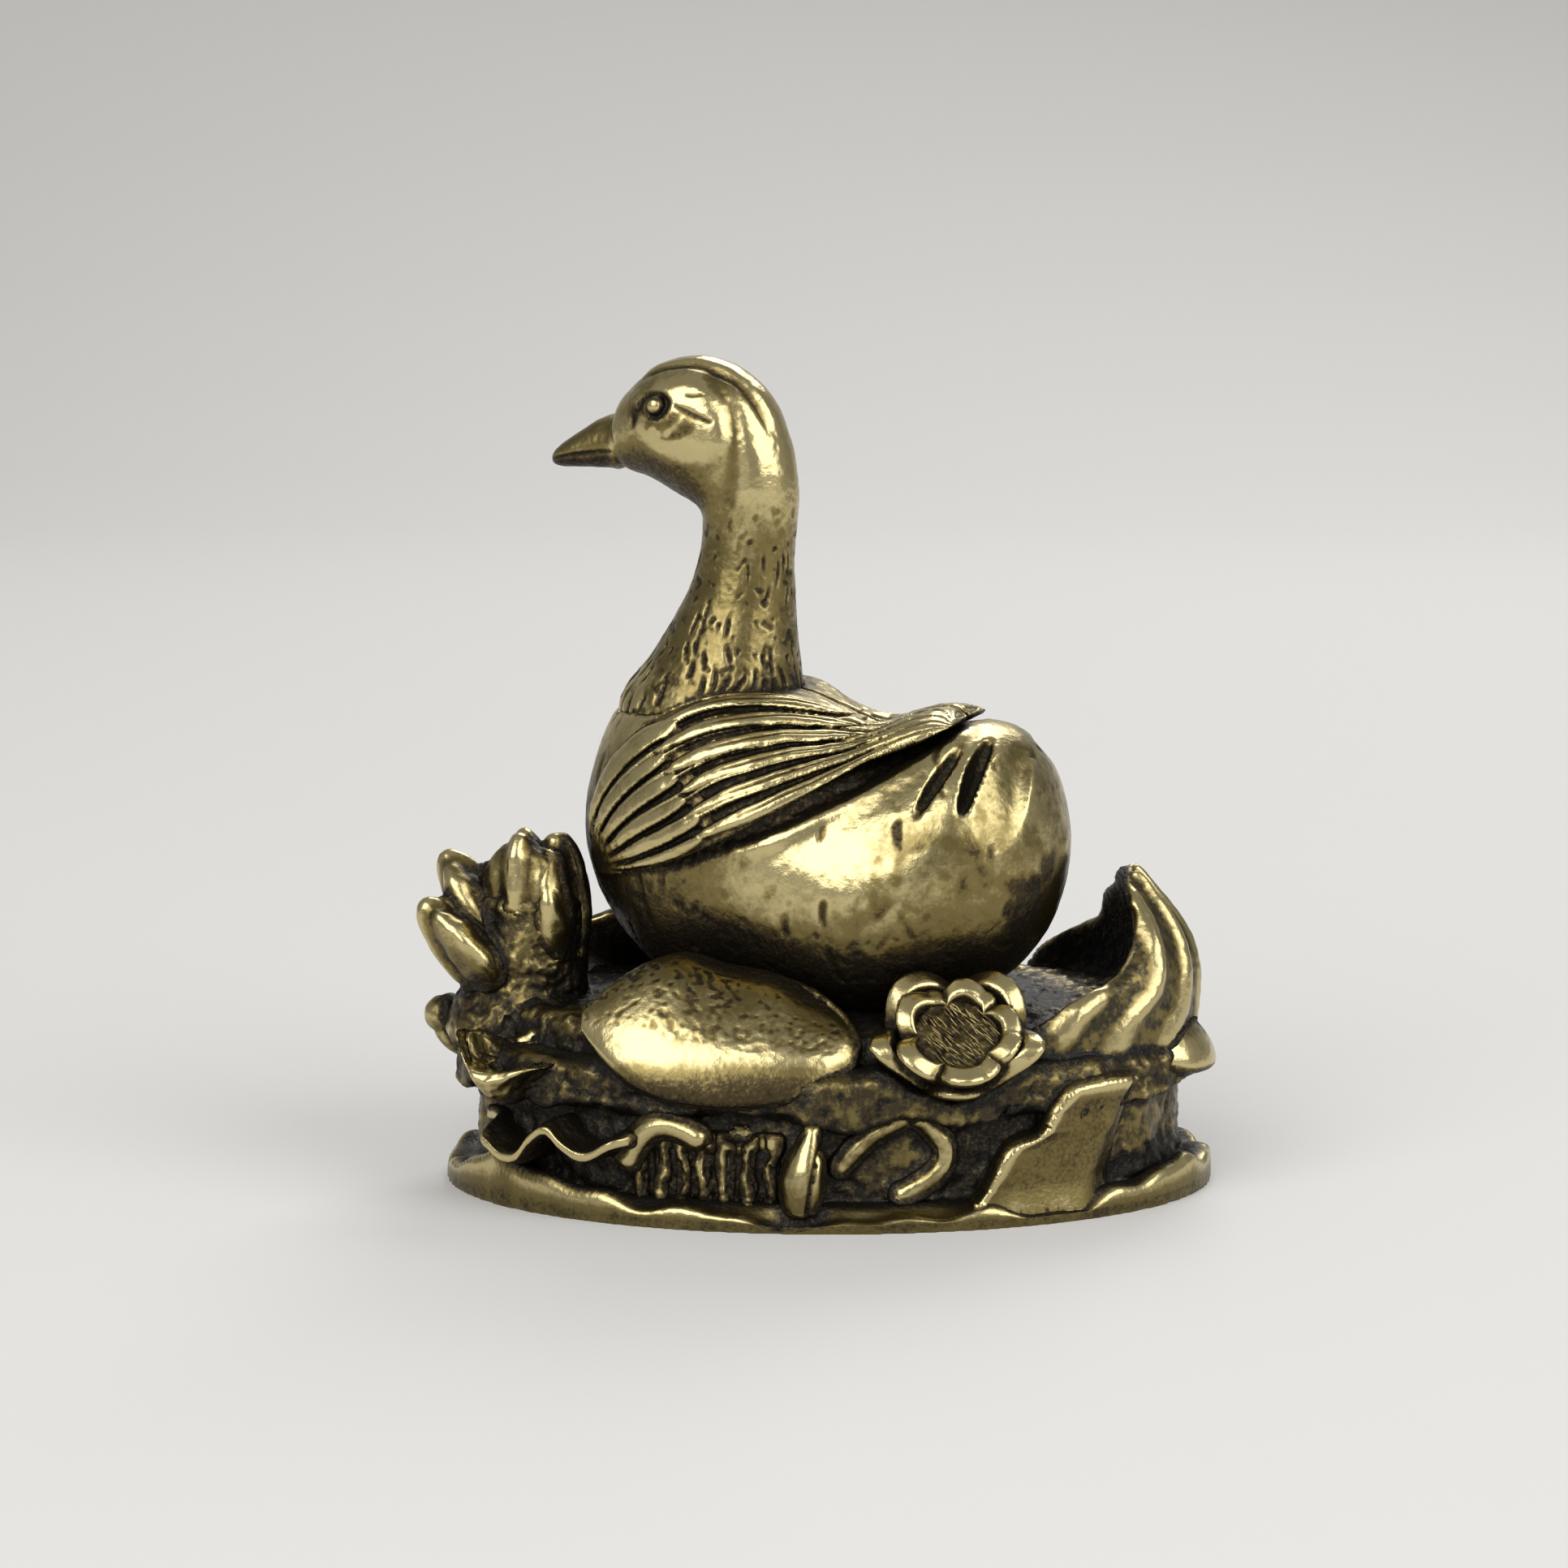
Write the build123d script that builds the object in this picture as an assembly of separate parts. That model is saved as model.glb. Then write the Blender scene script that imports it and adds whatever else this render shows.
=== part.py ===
from build123d import *

import os
from math import cos, pi, radians, sin

# A small cast brass duck resting on a lotus pond. Every leaf, flower, bud and stem is a casting
# of its own, seated on the piece that carries it and soldered there.
# Millimetres, +Z up. The origin is the middle of the flat underside, and the duck looks towards -X.
# The side at -Y is the front, where the open flower is.

# Base casting
BASE_LENGTH = 36.8
BASE_DEPTH = 24.0
FOOT_HEIGHT = 1.0
FOOT_ROUNDING = 0.3
WAIST_INSET = 1.7
DECK_INSET = 0.6
DECK_HEIGHT = 7.2
DECK_THICKNESS = 2.0
DECK_ROUNDING = 0.7

# Pond leaf, the broad lotus leaf that the duck sits on
POND_INSET = 1.95
POND_THICKNESS = 1.6
POND_ROUNDING = 0.9

# Duck's body
BODY_LENGTH = 23.5
BODY_WIDTH = 15.6
BODY_RISE = 7.8
BODY_DRAFT = 9.2
BREAST_HEIGHT = 7.9
DUCK_TURN = 18.0
PEG_DIAMETER = 4.0
PEG_LENGTH = 4.5
SOLDER_GAP = 0.05

# Slots between the feathers of the raised tail
SLOT_WIDTH = 0.8
SLOT_LENGTH = 5.4
SLOT_DEPTH = 1.5
SLOT_SPLAY = 44.0

# Wings, thin castings that lie on the body
WING_FRONT_THICKNESS = 0.3
WING_TIP_THICKNESS = 1.3
WING_GAP = 0.5
FEATHER_DEPTH = 0.2
GROOVE_BREADTH = 0.05

# Neck, head, bill and eyes
NECK_SETBACK = 6.5
NECK_LENGTH = 6.1
NECK_ROOT_WIDTH = 9.2
NECK_WIDTH = 4.5
NECK_TENON = 3.2
NECK_FLATNESS = 0.96
HEAD_LENGTH = 6.8
HEAD_HEIGHT = 6.6
HEAD_WIDTH = 5.7
BILL_LENGTH = 3.0
BILL_HEIGHT = 2.5
BILL_WIDTH = 2.7
EYE_DIAMETER = 0.9

# Smooth leaves folded over the edge of the pond leaf
FRONT_LEAF_SPAN = 7.6
FRONT_LEAF_THICKNESS = 3.1
BACK_LEAF_SPAN = 6.6
BACK_LEAF_THICKNESS = 2.4
SIDE_LEAF_SPAN = 3.4
SIDE_LEAF_THICKNESS = 1.8
DRAPE_SLOPE = 47.0
LEAF_TIP = 0.12

# Standing leaf that curls up round the right-hand end
STANDING_HEIGHT = 8.0
STANDING_REACH = 8.4
STANDING_BULGE = 0.6
STANDING_WALL = 0.9

# Rolled leaf, a scoop at the left of the front
ROLLED_LENGTH = 5.0
ROLLED_HEIGHT = 3.6
ROLLED_DEPTH = 3.4
ROLLED_WALL = 0.5
ROLLED_ANGLE = 214.0
ROLLED_LIFT = 0.0
ROLLED_OUT = 0.6
ROLLED_TURN = 25.0
ROLLED_MOUTH_TILT = 38.0

# Ruffled leaves, wavy ledges round the waist
RUFFLE_REACH = 2.0
RUFFLE_THICKNESS = 0.8
RUFFLE_WAVE = 0.45
RUFFLE_HEIGHT = 3.8
RUFFLE_CLIMB = 0.7
RUFFLE_FRONT_ANGLE = 198.0
RUFFLE_BACK_ANGLE = 18.0
RUFFLE_WAVES = 3
RUFFLE_SPREAD = 40.0

# Hanging leaf, a broad blade from the deck down to the foot
HANGING_THICKNESS = 0.5

# Ribbed leaf under the deck
RIB_COUNT = 7
RIB_DIAMETER = 0.8
RIB_HEIGHT = 3.2
RIB_FIRST_ANGLE = 239.0
RIB_LAST_ANGLE = 261.0
BLADE_THICKNESS = 0.3
ROLL_DIAMETER = 1.1
ROLL_OUT = 0.8
BEAD_LENGTH = 1.7
BEAD_ANGLE = 255.5

# Stems, standing bud and knob bud
STEM_DIAMETER = 0.9
STEM_OUT = 0.35
BUD_LENGTH = 3.7
BUD_DIAMETER = 1.6
BUD_ANGLE = 265.4
BUD_OUT = 1.3
KNOB_DIAMETER = 1.8
KNOB_STALK = 1.1
KNOB_LIFT = 0.3
KNOB_ANGLE = 172.0

# Open flower at the front
FLOWER_ANGLE = 291.2
FLOWER_INSET = 0.1
FLOWER_LIFT = -0.15
FLOWER_TILT = 42.0
CUP_DIAMETER = 5.7
CUP_DEPTH = 2.3
CUP_WALL = 0.6
CUP_PETALS = 6
OUTER_DIAMETER = 7.8
OUTER_DEPTH = 2.7
OUTER_WALL = 0.65
OUTER_PETALS = 5
POD_DROP = 0.35
STALK_DIAMETER = 1.6
STALK_LENGTH = 2.2

# Half-open bloom at the left-hand end
BLOOM_ANGLE = 180.0
BLOOM_INSET = 2.9
BLOOM_STEM_DIAMETER = 5.6
BLOOM_TOP_DIAMETER = 4.2
BLOOM_STEM_HEIGHT = 6.2
BLOOM_STEM_SWAY = 0.6
BLOOM_PETAL_THICKNESS = 1.9

# Places that follow from the sizes above
WAIST_LENGTH = BASE_LENGTH - 2 * WAIST_INSET
WAIST_DEPTH = BASE_DEPTH - 2 * WAIST_INSET
DECK_LENGTH = BASE_LENGTH - 2 * DECK_INSET
DECK_DEPTH = BASE_DEPTH - 2 * DECK_INSET
POND_LENGTH = DECK_LENGTH - 2 * POND_INSET
POND_DEPTH = DECK_DEPTH - 2 * POND_INSET
POND_LEVEL = DECK_HEIGHT + POND_THICKNESS
BODY_LEVEL = POND_LEVEL + BREAST_HEIGHT
NECK_X = NECK_SETBACK - BODY_LENGTH / 2
BACK_LEVEL = BODY_LEVEL + BODY_RISE
RECESS_HEIGHT = DECK_HEIGHT - DECK_THICKNESS - FOOT_HEIGHT
DUCK_PLACE = Rot(0, 0, -DUCK_TURN)

# Body stations from breast to tail: place along the half length, then shares of the half width,
# of the rise above the breast's level and of the draft below it.
BODY_STATIONS = (
    (-1.00, 0.06, 0.06, 0.04),
    (-0.98, 0.31, 0.34, 0.23),
    (-0.87, 0.59, 0.70, 0.51),
    (-0.68, 0.81, 0.92, 0.76),
    (-0.38, 0.95, 1.00, 0.95),
    (0.00, 1.00, 0.74, 1.00),
    (0.34, 0.98, 0.61, 0.97),
    (0.65, 0.85, 0.73, 0.79),
    (0.83, 0.64, 0.63, 0.60),
    (0.95, 0.34, 0.33, 0.32),
    (1.00, 0.06, 0.04, 0.06),
)

# Slot stations: shares of the half length, of the half width and of the rise, and lean in degrees.
SLOT_STATIONS = ((0.58, 0.64, 0.48, 18.0), (0.71, 0.51, 0.50, 6.0), (0.85, 0.36, 0.45, -4.0))

# Wing outline from the side, along the lower edge to the tip and back over the shoulder:
# shares of the body's half length and of its rise.
WING_LOWER = ((-0.86, -0.22), (-0.47, -0.08), (-0.09, 0.20), (0.34, 0.58), (0.60, 0.78))
WING_UPPER = (
    (0.60, 0.78), (0.53, 0.85), (0.41, 0.81), (0.22, 0.71), (0.06, 0.79), (-0.10, 0.88),
    (-0.55, 0.80), (-0.90, 0.12), (-0.86, -0.22),
)

# Grooves between the feathers of a wing: where they start and end as shares of its length, and their
# places as shares of its breadth from the lower edge. Short shoulder feathers first, then long quills.
FEATHER_ROWS = (
    (0.13, 0.38, (0.10, 0.27, 0.44, 0.61, 0.78)),
    (0.42, 0.97, (0.14, 0.32, 0.50, 0.68, 0.84)),
)
GROOVE_STEPS = 4

# Neck stations: share of the neck's length, share of its width that it sways back, lean of the
# section in degrees, and how much of the root's extra width is left.
NECK_STATIONS = (
    (-0.36, -0.08, -8.0, 1.00),
    (-0.12, -0.01, -9.0, 0.73),
    (0.10, 0.07, -10.0, 0.50),
    (0.30, 0.13, -10.0, 0.33),
    (0.60, 0.21, -8.0, 0.12),
    (1.00, 0.27, 0.0, 0.00),
)

# Head stations from the top of the neck to the face: shares of the head's length forwards and of
# its height upwards, lean in degrees, then shares of the half height and the half width.
HEAD_STATIONS = (
    (-0.01, 0.27, 13.0, 0.73, 0.81),
    (0.07, 0.50, 31.0, 0.87, 0.88),
    (0.23, 0.71, 47.0, 1.00, 0.98),
    (0.46, 0.85, 62.0, 0.98, 1.00),
    (0.71, 0.85, 77.0, 0.81, 0.88),
    (0.88, 0.78, 85.0, 0.56, 0.65),
)
FACE_RISE = 0.73
EYE_STATION = (0.55, 0.97, 0.93)

# Bill stations from inside the face to the tip: share of the bill's length, share of its height
# that the middle drops, then shares of the half height and the half width.
BILL_STATIONS = (
    (-0.35, 0.00, 1.10, 1.10),
    (0.00, 0.13, 1.00, 1.00),
    (0.37, 0.22, 0.82, 0.90),
    (0.74, 0.36, 0.54, 0.80),
    (0.95, 0.44, 0.32, 0.55),
)
BILL_TIP_DROP = 0.50

# Folded leaves: three places on the pond leaf's edge as angle, distance outwards and lift above
# the pond, and the leaf's fullness along its length.
FRONT_LEAF_LINE = ((227.6, 1.7, 0.4), (250.2, -0.2, -0.2), (274.0, 0.6, -0.9))
BACK_LEAF_LINE = ((141.0, 1.0, 1.8), (116.0, 0.9, 0.6), (88.0, 1.3, -0.6))
SIDE_LEAF_LINE = ((333.0, 1.2, -2.0), (348.0, 1.5, -1.8), (6.0, 1.3, -2.6))
LEAF_FULLNESS = ((0.09, 0.52), (0.24, 0.88), (0.42, 1.0), (0.68, 0.92), (0.89, 0.58))

# Standing leaf: its wavy upper edge as shares of the reach to each side and of the height, and
# how far its wall stands outwards from the pond leaf at shares of the height.
STANDING_EDGE = (
    (-1.00, 0.00), (-0.97, 0.26), (-0.88, 0.38), (-0.75, 0.47), (-0.63, 0.60),
    (-0.49, 0.74), (-0.34, 0.91), (-0.14, 1.00), (0.06, 0.97), (0.30, 0.84),
    (0.50, 0.74), (0.70, 0.54), (0.86, 0.44), (0.98, 0.22), (1.00, 0.00),
)
STANDING_WALLS = ((0.0, 0.8), (0.20, 0.95), (0.40, 1.0), (0.70, -0.6), (1.02, -3.8))

# Hanging leaf from the front, round its four edges: shares of the base's half length and of the
# deck's height.
HANGING_LEFT = ((0.35, 0.12), (0.41, 0.31), (0.45, 0.49), (0.53, 0.57), (0.56, 0.72), (0.62, 0.86))
HANGING_TOP = ((0.62, 0.86), (0.72, 0.88), (0.81, 0.86))
HANGING_RIGHT = ((0.81, 0.86), (0.76, 0.48), (0.70, 0.12))
HANGING_FOOT = ((0.70, 0.12), (0.52, 0.10), (0.35, 0.12))

# Curled stems: angle on the waist and share of the recess under the deck.
LEFT_STEM_LINE = ((271.5, 0.45), (275.5, 0.75), (281.0, 0.97))
RIGHT_STEM_LINE = ((284.0, 0.95), (288.0, 0.60), (281.0, 0.12))
ROLL_LINE = ((237.5, 0.48), (242.5, 0.86), (249.0, 0.76))

# Petal outlines: shares of the bowl's radius for the half width, then of its depth for the middle
# and the half height.
CUP_PETAL = (0.76, 0.35, 0.64)
OUTER_PETAL = (0.60, 0.30, 0.69)

# Petals of the bloom: turn round the stem from +X in degrees, then shares of the stem's height for
# the distance outwards and the height of the petal's middle, lean outwards in degrees, and shares
# of the stem's height for its length and its width.
HEART_PETALS = (
    (250.0, 0.20, 1.12, 4.0, 0.78, 0.56),
    (345.0, 0.24, 0.98, -4.0, 1.00, 0.72),
    (110.0, 0.16, 1.08, 2.0, 0.80, 0.62),
)
LEANING_PETALS = (
    (203.0, 0.52, 0.66, 40.0, 0.92, 0.74),
    (172.0, 0.42, 0.96, 32.0, 0.86, 0.66),
    (136.0, 0.46, 0.70, 38.0, 0.84, 0.68),
)

# Sides of a bud and of a bowl from the bottom up: shares of the radius and of the height, and the
# bowl's directions at its bottom and its rim.
TEARDROP_SIDE = ((0.55, 0.0), (1.0, 0.35), (0.62, 0.75), (0.12, 1.0))
BOWL_SIDE = ((0.0, 0.0), (0.72, 0.30), (1.0, 1.0))
BOWL_TANGENTS = ((1, 0), (0.25, 1))

RING_POINTS = 8


def oval_ring(plane, half_x, half_y):
    """A smooth oval face on a plane."""
    angles = [2 * pi * k / RING_POINTS for k in range(RING_POINTS)]
    points = [(half_x * cos(a), half_y * sin(a)) for a in angles]
    return plane * make_face(Spline(*points, periodic=True))


def ring(centre, lean, half_depth, half_width):
    """An oval face across the duck, whose normal leans forwards from +Z towards -X."""
    normal = (-sin(radians(lean)), 0, cos(radians(lean)))
    plane = Plane(origin=centre, x_dir=(0, 1, 0), z_dir=normal)
    return oval_ring(plane, half_width, half_depth)


def ellipsoid(length, depth, height):
    """A ball stretched to the three sizes, centred on the origin."""
    return scale(Sphere(0.5), by=(length, depth, height))


def outwards(length, depth, angle):
    """The level direction away from an oval at an angle in degrees from +X."""
    return Vector(cos(radians(angle)) / length, sin(radians(angle)) / depth).normalized()


def by_rim(length, depth, angle, out, height):
    """A point beside an oval: at an angle, moved outwards, at a height."""
    edge = Vector(length / 2 * cos(radians(angle)), depth / 2 * sin(radians(angle)), height)
    return edge + outwards(length, depth, angle) * out


def rim_plane(length, depth, angle, height):
    """A frame on an oval's edge: x points outwards and y up."""
    away = outwards(length, depth, angle)
    edge = by_rim(length, depth, angle, 0, height)
    return Plane(origin=edge, x_dir=away, z_dir=away.cross(Vector(0, 0, 1)))


def oval_slab(length, depth, height):
    """An upright oval slab standing on Z = 0."""
    return extrude(Ellipse(length / 2, depth / 2), height)


def rod(line, diameter):
    """A round rod with ball ends that follows a curve through the points."""
    path = Spline(*line)
    face = Plane(origin=path @ 0, z_dir=path % 0) * Circle(diameter / 2)
    ends = [Pos(*(path @ share)) * Sphere(diameter / 2) for share in (0, 1)]
    return sweep(face, path=path) + ends


# Base and pond leaf


def plinth_form():
    foot = oval_slab(BASE_LENGTH, BASE_DEPTH, FOOT_HEIGHT)
    foot = fillet(foot.edges().group_by(Axis.Z)[-1], FOOT_ROUNDING)
    waist = oval_slab(WAIST_LENGTH, WAIST_DEPTH, DECK_HEIGHT)
    deck = oval_slab(DECK_LENGTH, DECK_DEPTH, DECK_THICKNESS)
    deck = fillet(deck.edges().group_by(Axis.Z)[-1], DECK_ROUNDING)
    return foot + waist + Pos(0, 0, DECK_HEIGHT - DECK_THICKNESS) * deck


def pond_form():
    slab = oval_slab(POND_LENGTH, POND_DEPTH, POND_THICKNESS)
    slab = fillet(slab.edges().group_by(Axis.Z)[-1], POND_ROUNDING)
    return Pos(0, 0, DECK_HEIGHT) * slab


def peg(grow):
    """The round peg under the duck, which passes through the pond leaf into the base."""
    bottom = POND_LEVEL - PEG_LENGTH - grow
    return Pos(0, 0, bottom) * extrude(Circle(PEG_DIAMETER / 2 + grow), PEG_LENGTH + grow)


# Duck, modelled looking along -X and turned as a whole afterwards


def egg_form(front, back):
    """The body's egg, grown by front at the breast and by back at the tail."""
    sections = []
    for along, wide, rise, draft in BODY_STATIONS:
        grow = front + (back - front) * (along + 1) / 2
        top = BODY_LEVEL + BODY_RISE * rise + grow
        bottom = BODY_LEVEL - BODY_DRAFT * draft - grow
        centre = (BODY_LENGTH / 2 * along, 0, (top + bottom) / 2)
        sections.append(ring(centre, 90, (top - bottom) / 2, BODY_WIDTH / 2 * wide + grow))
    return loft(sections)


def tail_slots():
    """Lens-shaped cutters that part the feathers of the raised tail, on both sides."""
    cutter = ellipsoid(SLOT_WIDTH, SLOT_DEPTH, SLOT_LENGTH)
    slots = []
    for along, out, rise, lean in SLOT_STATIONS:
        for side in (-1, 1):
            aside = side * BODY_WIDTH / 2 * out
            place = Pos(BODY_LENGTH / 2 * along, aside, BODY_LEVEL + BODY_RISE * rise)
            slots.append(place * Rot(side * SLOT_SPLAY, lean, 0) * cutter)
    return slots


def body_form(egg, neck):
    """The egg cut flat where it rests, with its peg, the neck's socket and the tail slots."""
    below = Box(2 * BODY_LENGTH, 2 * BODY_WIDTH, POND_LEVEL, align=(Align.CENTER, Align.CENTER, Align.MIN))
    return egg - below + peg(0) - neck - tail_slots()


def neck_top():
    sway = NECK_STATIONS[-1][1]
    return Vector(NECK_X + sway * NECK_WIDTH, 0, BACK_LEVEL + NECK_LENGTH)


def face_point():
    return neck_top() + Vector(-HEAD_LENGTH, 0, FACE_RISE * HEAD_HEIGHT)


def bill_form():
    face = face_point()
    sections = []
    for along, drop, high, wide in BILL_STATIONS:
        centre = face + Vector(-BILL_LENGTH * along, 0, -BILL_HEIGHT * drop)
        sections.append(ring(centre, 90, BILL_HEIGHT / 2 * high, BILL_WIDTH / 2 * wide))
    tip = face + Vector(-BILL_LENGTH, 0, -BILL_HEIGHT * BILL_TIP_DROP)
    return loft(sections + [Vertex(*tip)])


def neck_and_head_form():
    """Neck, head and bill, with the tenon that stands in the body."""
    root = Vector(NECK_X, 0, BACK_LEVEL)
    half_root = NECK_ROOT_WIDTH / 2
    sections = [ring(root - Vector(0, 0, NECK_TENON), 0, half_root, half_root)]
    for share, sway, lean, fullness in NECK_STATIONS:
        centre = root + Vector(sway * NECK_WIDTH, 0, share * NECK_LENGTH)
        half = (NECK_WIDTH + fullness * (NECK_ROOT_WIDTH - NECK_WIDTH)) / 2
        sections.append(ring(centre, lean, half, NECK_FLATNESS * half))
    for forward, up, lean, high, wide in HEAD_STATIONS:
        centre = neck_top() + Vector(-HEAD_LENGTH * forward, 0, HEAD_HEIGHT * up)
        sections.append(ring(centre, lean, HEAD_HEIGHT / 2 * high, HEAD_WIDTH / 2 * wide))
    sections.append(Vertex(*face_point()))
    return loft(sections) + bill_form()


def eye_form(side):
    """A bead let into the side of the head; side is -1 for the duck's left and 1 for its right."""
    forward, up, out = EYE_STATION
    centre = neck_top() + Vector(-HEAD_LENGTH * forward, side * HEAD_WIDTH / 2 * out, HEAD_HEIGHT * up)
    return Pos(*centre) * Sphere(EYE_DIAMETER / 2)


def wing_edges():
    """The wing's lower and upper edges from the side."""
    runs = (WING_LOWER, WING_UPPER)
    return [Spline(*[(BODY_LENGTH / 2 * x, BODY_LEVEL + BODY_RISE * z) for x, z in run]) for run in runs]


def wing_point(edges, along, across):
    """A point on the wing from the side, by its shares of the length and of the breadth."""
    lower, upper = edges
    return (lower @ along) * (1 - across) + (upper @ (1 - along)) * across


def feather_lines(edges):
    """Faces of the grooves between the shoulder's feathers and between the long quills."""
    faces = []
    for first, last, places in FEATHER_ROWS:
        stretch = [first + (last - first) * k / GROOVE_STEPS for k in range(GROOVE_STEPS + 1)]
        for across in places:
            below = [wing_point(edges, along, across) for along in stretch]
            above = [wing_point(edges, along, across + GROOVE_BREADTH) for along in stretch]
            sides = [Spline(*below), Spline(*above)]
            ends = [Line(below[0], above[0]), Line(below[-1], above[-1])]
            faces.append(make_face(sides + ends))
    return faces


def wing_form(egg, side):
    """A thin casting cut to lie on the body, thicker towards its raised tip; side is -1 for the left."""
    edges = wing_edges()
    blank, *lines = [
        Pos(0, side * WING_GAP / 2, 0) * extrude(Plane.XZ * face, BODY_WIDTH, dir=(0, side, 0))
        for face in (make_face(edges), *feather_lines(edges))
    ]
    floor = egg_form(WING_FRONT_THICKNESS - FEATHER_DEPTH, WING_TIP_THICKNESS - FEATHER_DEPTH)
    wing = egg_form(WING_FRONT_THICKNESS, WING_TIP_THICKNESS) & blank
    return wing - [line - floor for line in lines] - egg


# Leaves


def folded_leaf(line, span, thickness):
    """A smooth leaf folded over the pond leaf's edge, narrowing to both ends."""
    middle = outwards(POND_LENGTH, POND_DEPTH, line[1][0])
    slope = radians(DRAPE_SLOPE)
    down = middle * cos(slope) - Vector(0, 0, sin(slope))
    curve = Spline(*[by_rim(POND_LENGTH, POND_DEPTH, a, out, POND_LEVEL + up) for a, out, up in line])
    sections = []
    for share, full in ((0.0, LEAF_TIP), *LEAF_FULLNESS, (1.0, LEAF_TIP)):
        plane = Plane(origin=curve @ share, x_dir=down, z_dir=curve % share)
        sections.append(oval_ring(plane, span / 2 * full, thickness / 2 * full))
    return loft(sections)


def standing_leaf_form():
    """A leaf that stands on the deck round the right-hand end and curls over at its tip."""
    shells = []
    for wall in (0, STANDING_WALL):
        sections = []
        for share, bulge in STANDING_WALLS:
            out = SOLDER_GAP + wall + bulge * STANDING_BULGE
            plane = Plane.XY.offset(DECK_HEIGHT + share * STANDING_HEIGHT)
            sections.append(oval_ring(plane, POND_LENGTH / 2 + out, POND_DEPTH / 2 + out))
        shells.append(loft(sections))
    edge = Spline(*[(STANDING_REACH * y, DECK_HEIGHT + STANDING_HEIGHT * z) for y, z in STANDING_EDGE])
    window = make_face([edge, Line(edge @ 1, edge @ 0)])
    return (shells[1] - shells[0]) & extrude(Plane.YZ * window, BASE_LENGTH)


def pillow(depth, height, length):
    """A straight pillow along Z, centred on the origin and narrowing to both ends."""
    sections = []
    for share, full in ((0.0, LEAF_TIP), *LEAF_FULLNESS, (1.0, LEAF_TIP)):
        plane = Plane.XY.offset(length * (share - 0.5))
        sections.append(oval_ring(plane, depth / 2 * full, height / 2 * full))
    return loft(sections)


def rolled_leaf_form():
    """A leaf rolled into a scoop that opens outwards."""
    hollow = 2 * ROLLED_WALL
    outer = pillow(ROLLED_DEPTH, ROLLED_HEIGHT, ROLLED_LENGTH)
    inner = pillow(ROLLED_DEPTH - hollow, ROLLED_HEIGHT - hollow, ROLLED_LENGTH - hollow)
    mouth = Pos(3 * ROLLED_DEPTH / 4, 0, 0) * Box(ROLLED_DEPTH, 2 * ROLLED_HEIGHT, ROLLED_LENGTH)
    mouth = Rot(0, 0, ROLLED_MOUTH_TILT) * mouth
    plane = rim_plane(DECK_LENGTH, DECK_DEPTH, ROLLED_ANGLE, DECK_HEIGHT + ROLLED_LIFT)
    return plane * Pos(ROLLED_OUT, 0, 0) * Rot(0, ROLLED_TURN, 0) * (outer - inner - mouth)


def ruffled_leaf_form(first_angle):
    """A wavy ledge round the waist that climbs along its length."""
    steps = 4 * RUFFLE_WAVES
    sections = []
    for k in range(steps + 1):
        height = RUFFLE_HEIGHT + RUFFLE_CLIMB * k / steps + RUFFLE_WAVE * sin(pi / 2 * k)
        plane = rim_plane(WAIST_LENGTH, WAIST_DEPTH, first_angle + RUFFLE_SPREAD * k / steps, height)
        ledge = Rectangle(RUFFLE_REACH + WAIST_INSET / 2, RUFFLE_THICKNESS)
        sections.append(plane * Pos(RUFFLE_REACH / 2, 0, 0) * ledge)
    return loft(sections)


def hanging_leaf_form():
    """A broad blade that hangs from the deck to the foot at the right of the front."""
    foot = Pos(0, 0, FOOT_HEIGHT) * Ellipse(BASE_LENGTH / 2 - FOOT_ROUNDING, BASE_DEPTH / 2 - FOOT_ROUNDING)
    top_length = DECK_LENGTH / 2 + HANGING_THICKNESS
    top = Pos(0, 0, DECK_HEIGHT) * Ellipse(top_length, DECK_DEPTH / 2 + HANGING_THICKNESS)
    edges = []
    for run in (HANGING_LEFT, HANGING_TOP, HANGING_RIGHT, HANGING_FOOT):
        edges.append(Spline(*[(BASE_LENGTH / 2 * x, DECK_HEIGHT * z) for x, z in run]))
    return loft([foot, top]) & extrude(Plane.XZ * make_face(edges), BASE_DEPTH)


def recess_point(angle, share, out):
    """A point in the recess between foot and deck, in front of the waist."""
    return by_rim(WAIST_LENGTH, WAIST_DEPTH, angle, out, FOOT_HEIGHT + RECESS_HEIGHT * share)


def ribbed_leaf_form():
    """Upright ribs on a thin blade that lies on the waist, with a rolled edge and a bead on top."""
    spread = RIB_LAST_ANGLE - RIB_FIRST_ANGLE
    skin = 2 * BLADE_THICKNESS
    blade = Pos(0, 0, FOOT_HEIGHT) * oval_slab(WAIST_LENGTH + skin, WAIST_DEPTH + skin, RIB_HEIGHT)
    left = recess_point(RIB_FIRST_ANGLE, 0, 0)
    right = recess_point(RIB_LAST_ANGLE, 0, 0)
    sector = Box(right.X - left.X, BASE_DEPTH, BASE_DEPTH, align=(Align.MIN, Align.MAX, Align.CENTER))
    leaf = blade & Pos(left.X, 0, 0) * sector
    for k in range(RIB_COUNT):
        place = recess_point(RIB_FIRST_ANGLE + spread * k / (RIB_COUNT - 1), 0, RIB_DIAMETER / 4)
        leaf = leaf + Pos(*place) * extrude(Circle(RIB_DIAMETER / 2), RIB_HEIGHT)
    leaf = leaf + rod([recess_point(angle, share, ROLL_OUT) for angle, share in ROLL_LINE], ROLL_DIAMETER)
    bead = Pos(*recess_point(BEAD_ANGLE, RIB_HEIGHT / RECESS_HEIGHT, RIB_DIAMETER / 2))
    return leaf + bead * ellipsoid(BEAD_LENGTH, ROLL_DIAMETER, ROLL_DIAMETER)


# Stems and buds


def waist_stem(line):
    """A curled stem that lies against the waist."""
    return rod([recess_point(angle, share, STEM_OUT) for angle, share in line], STEM_DIAMETER)


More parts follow.
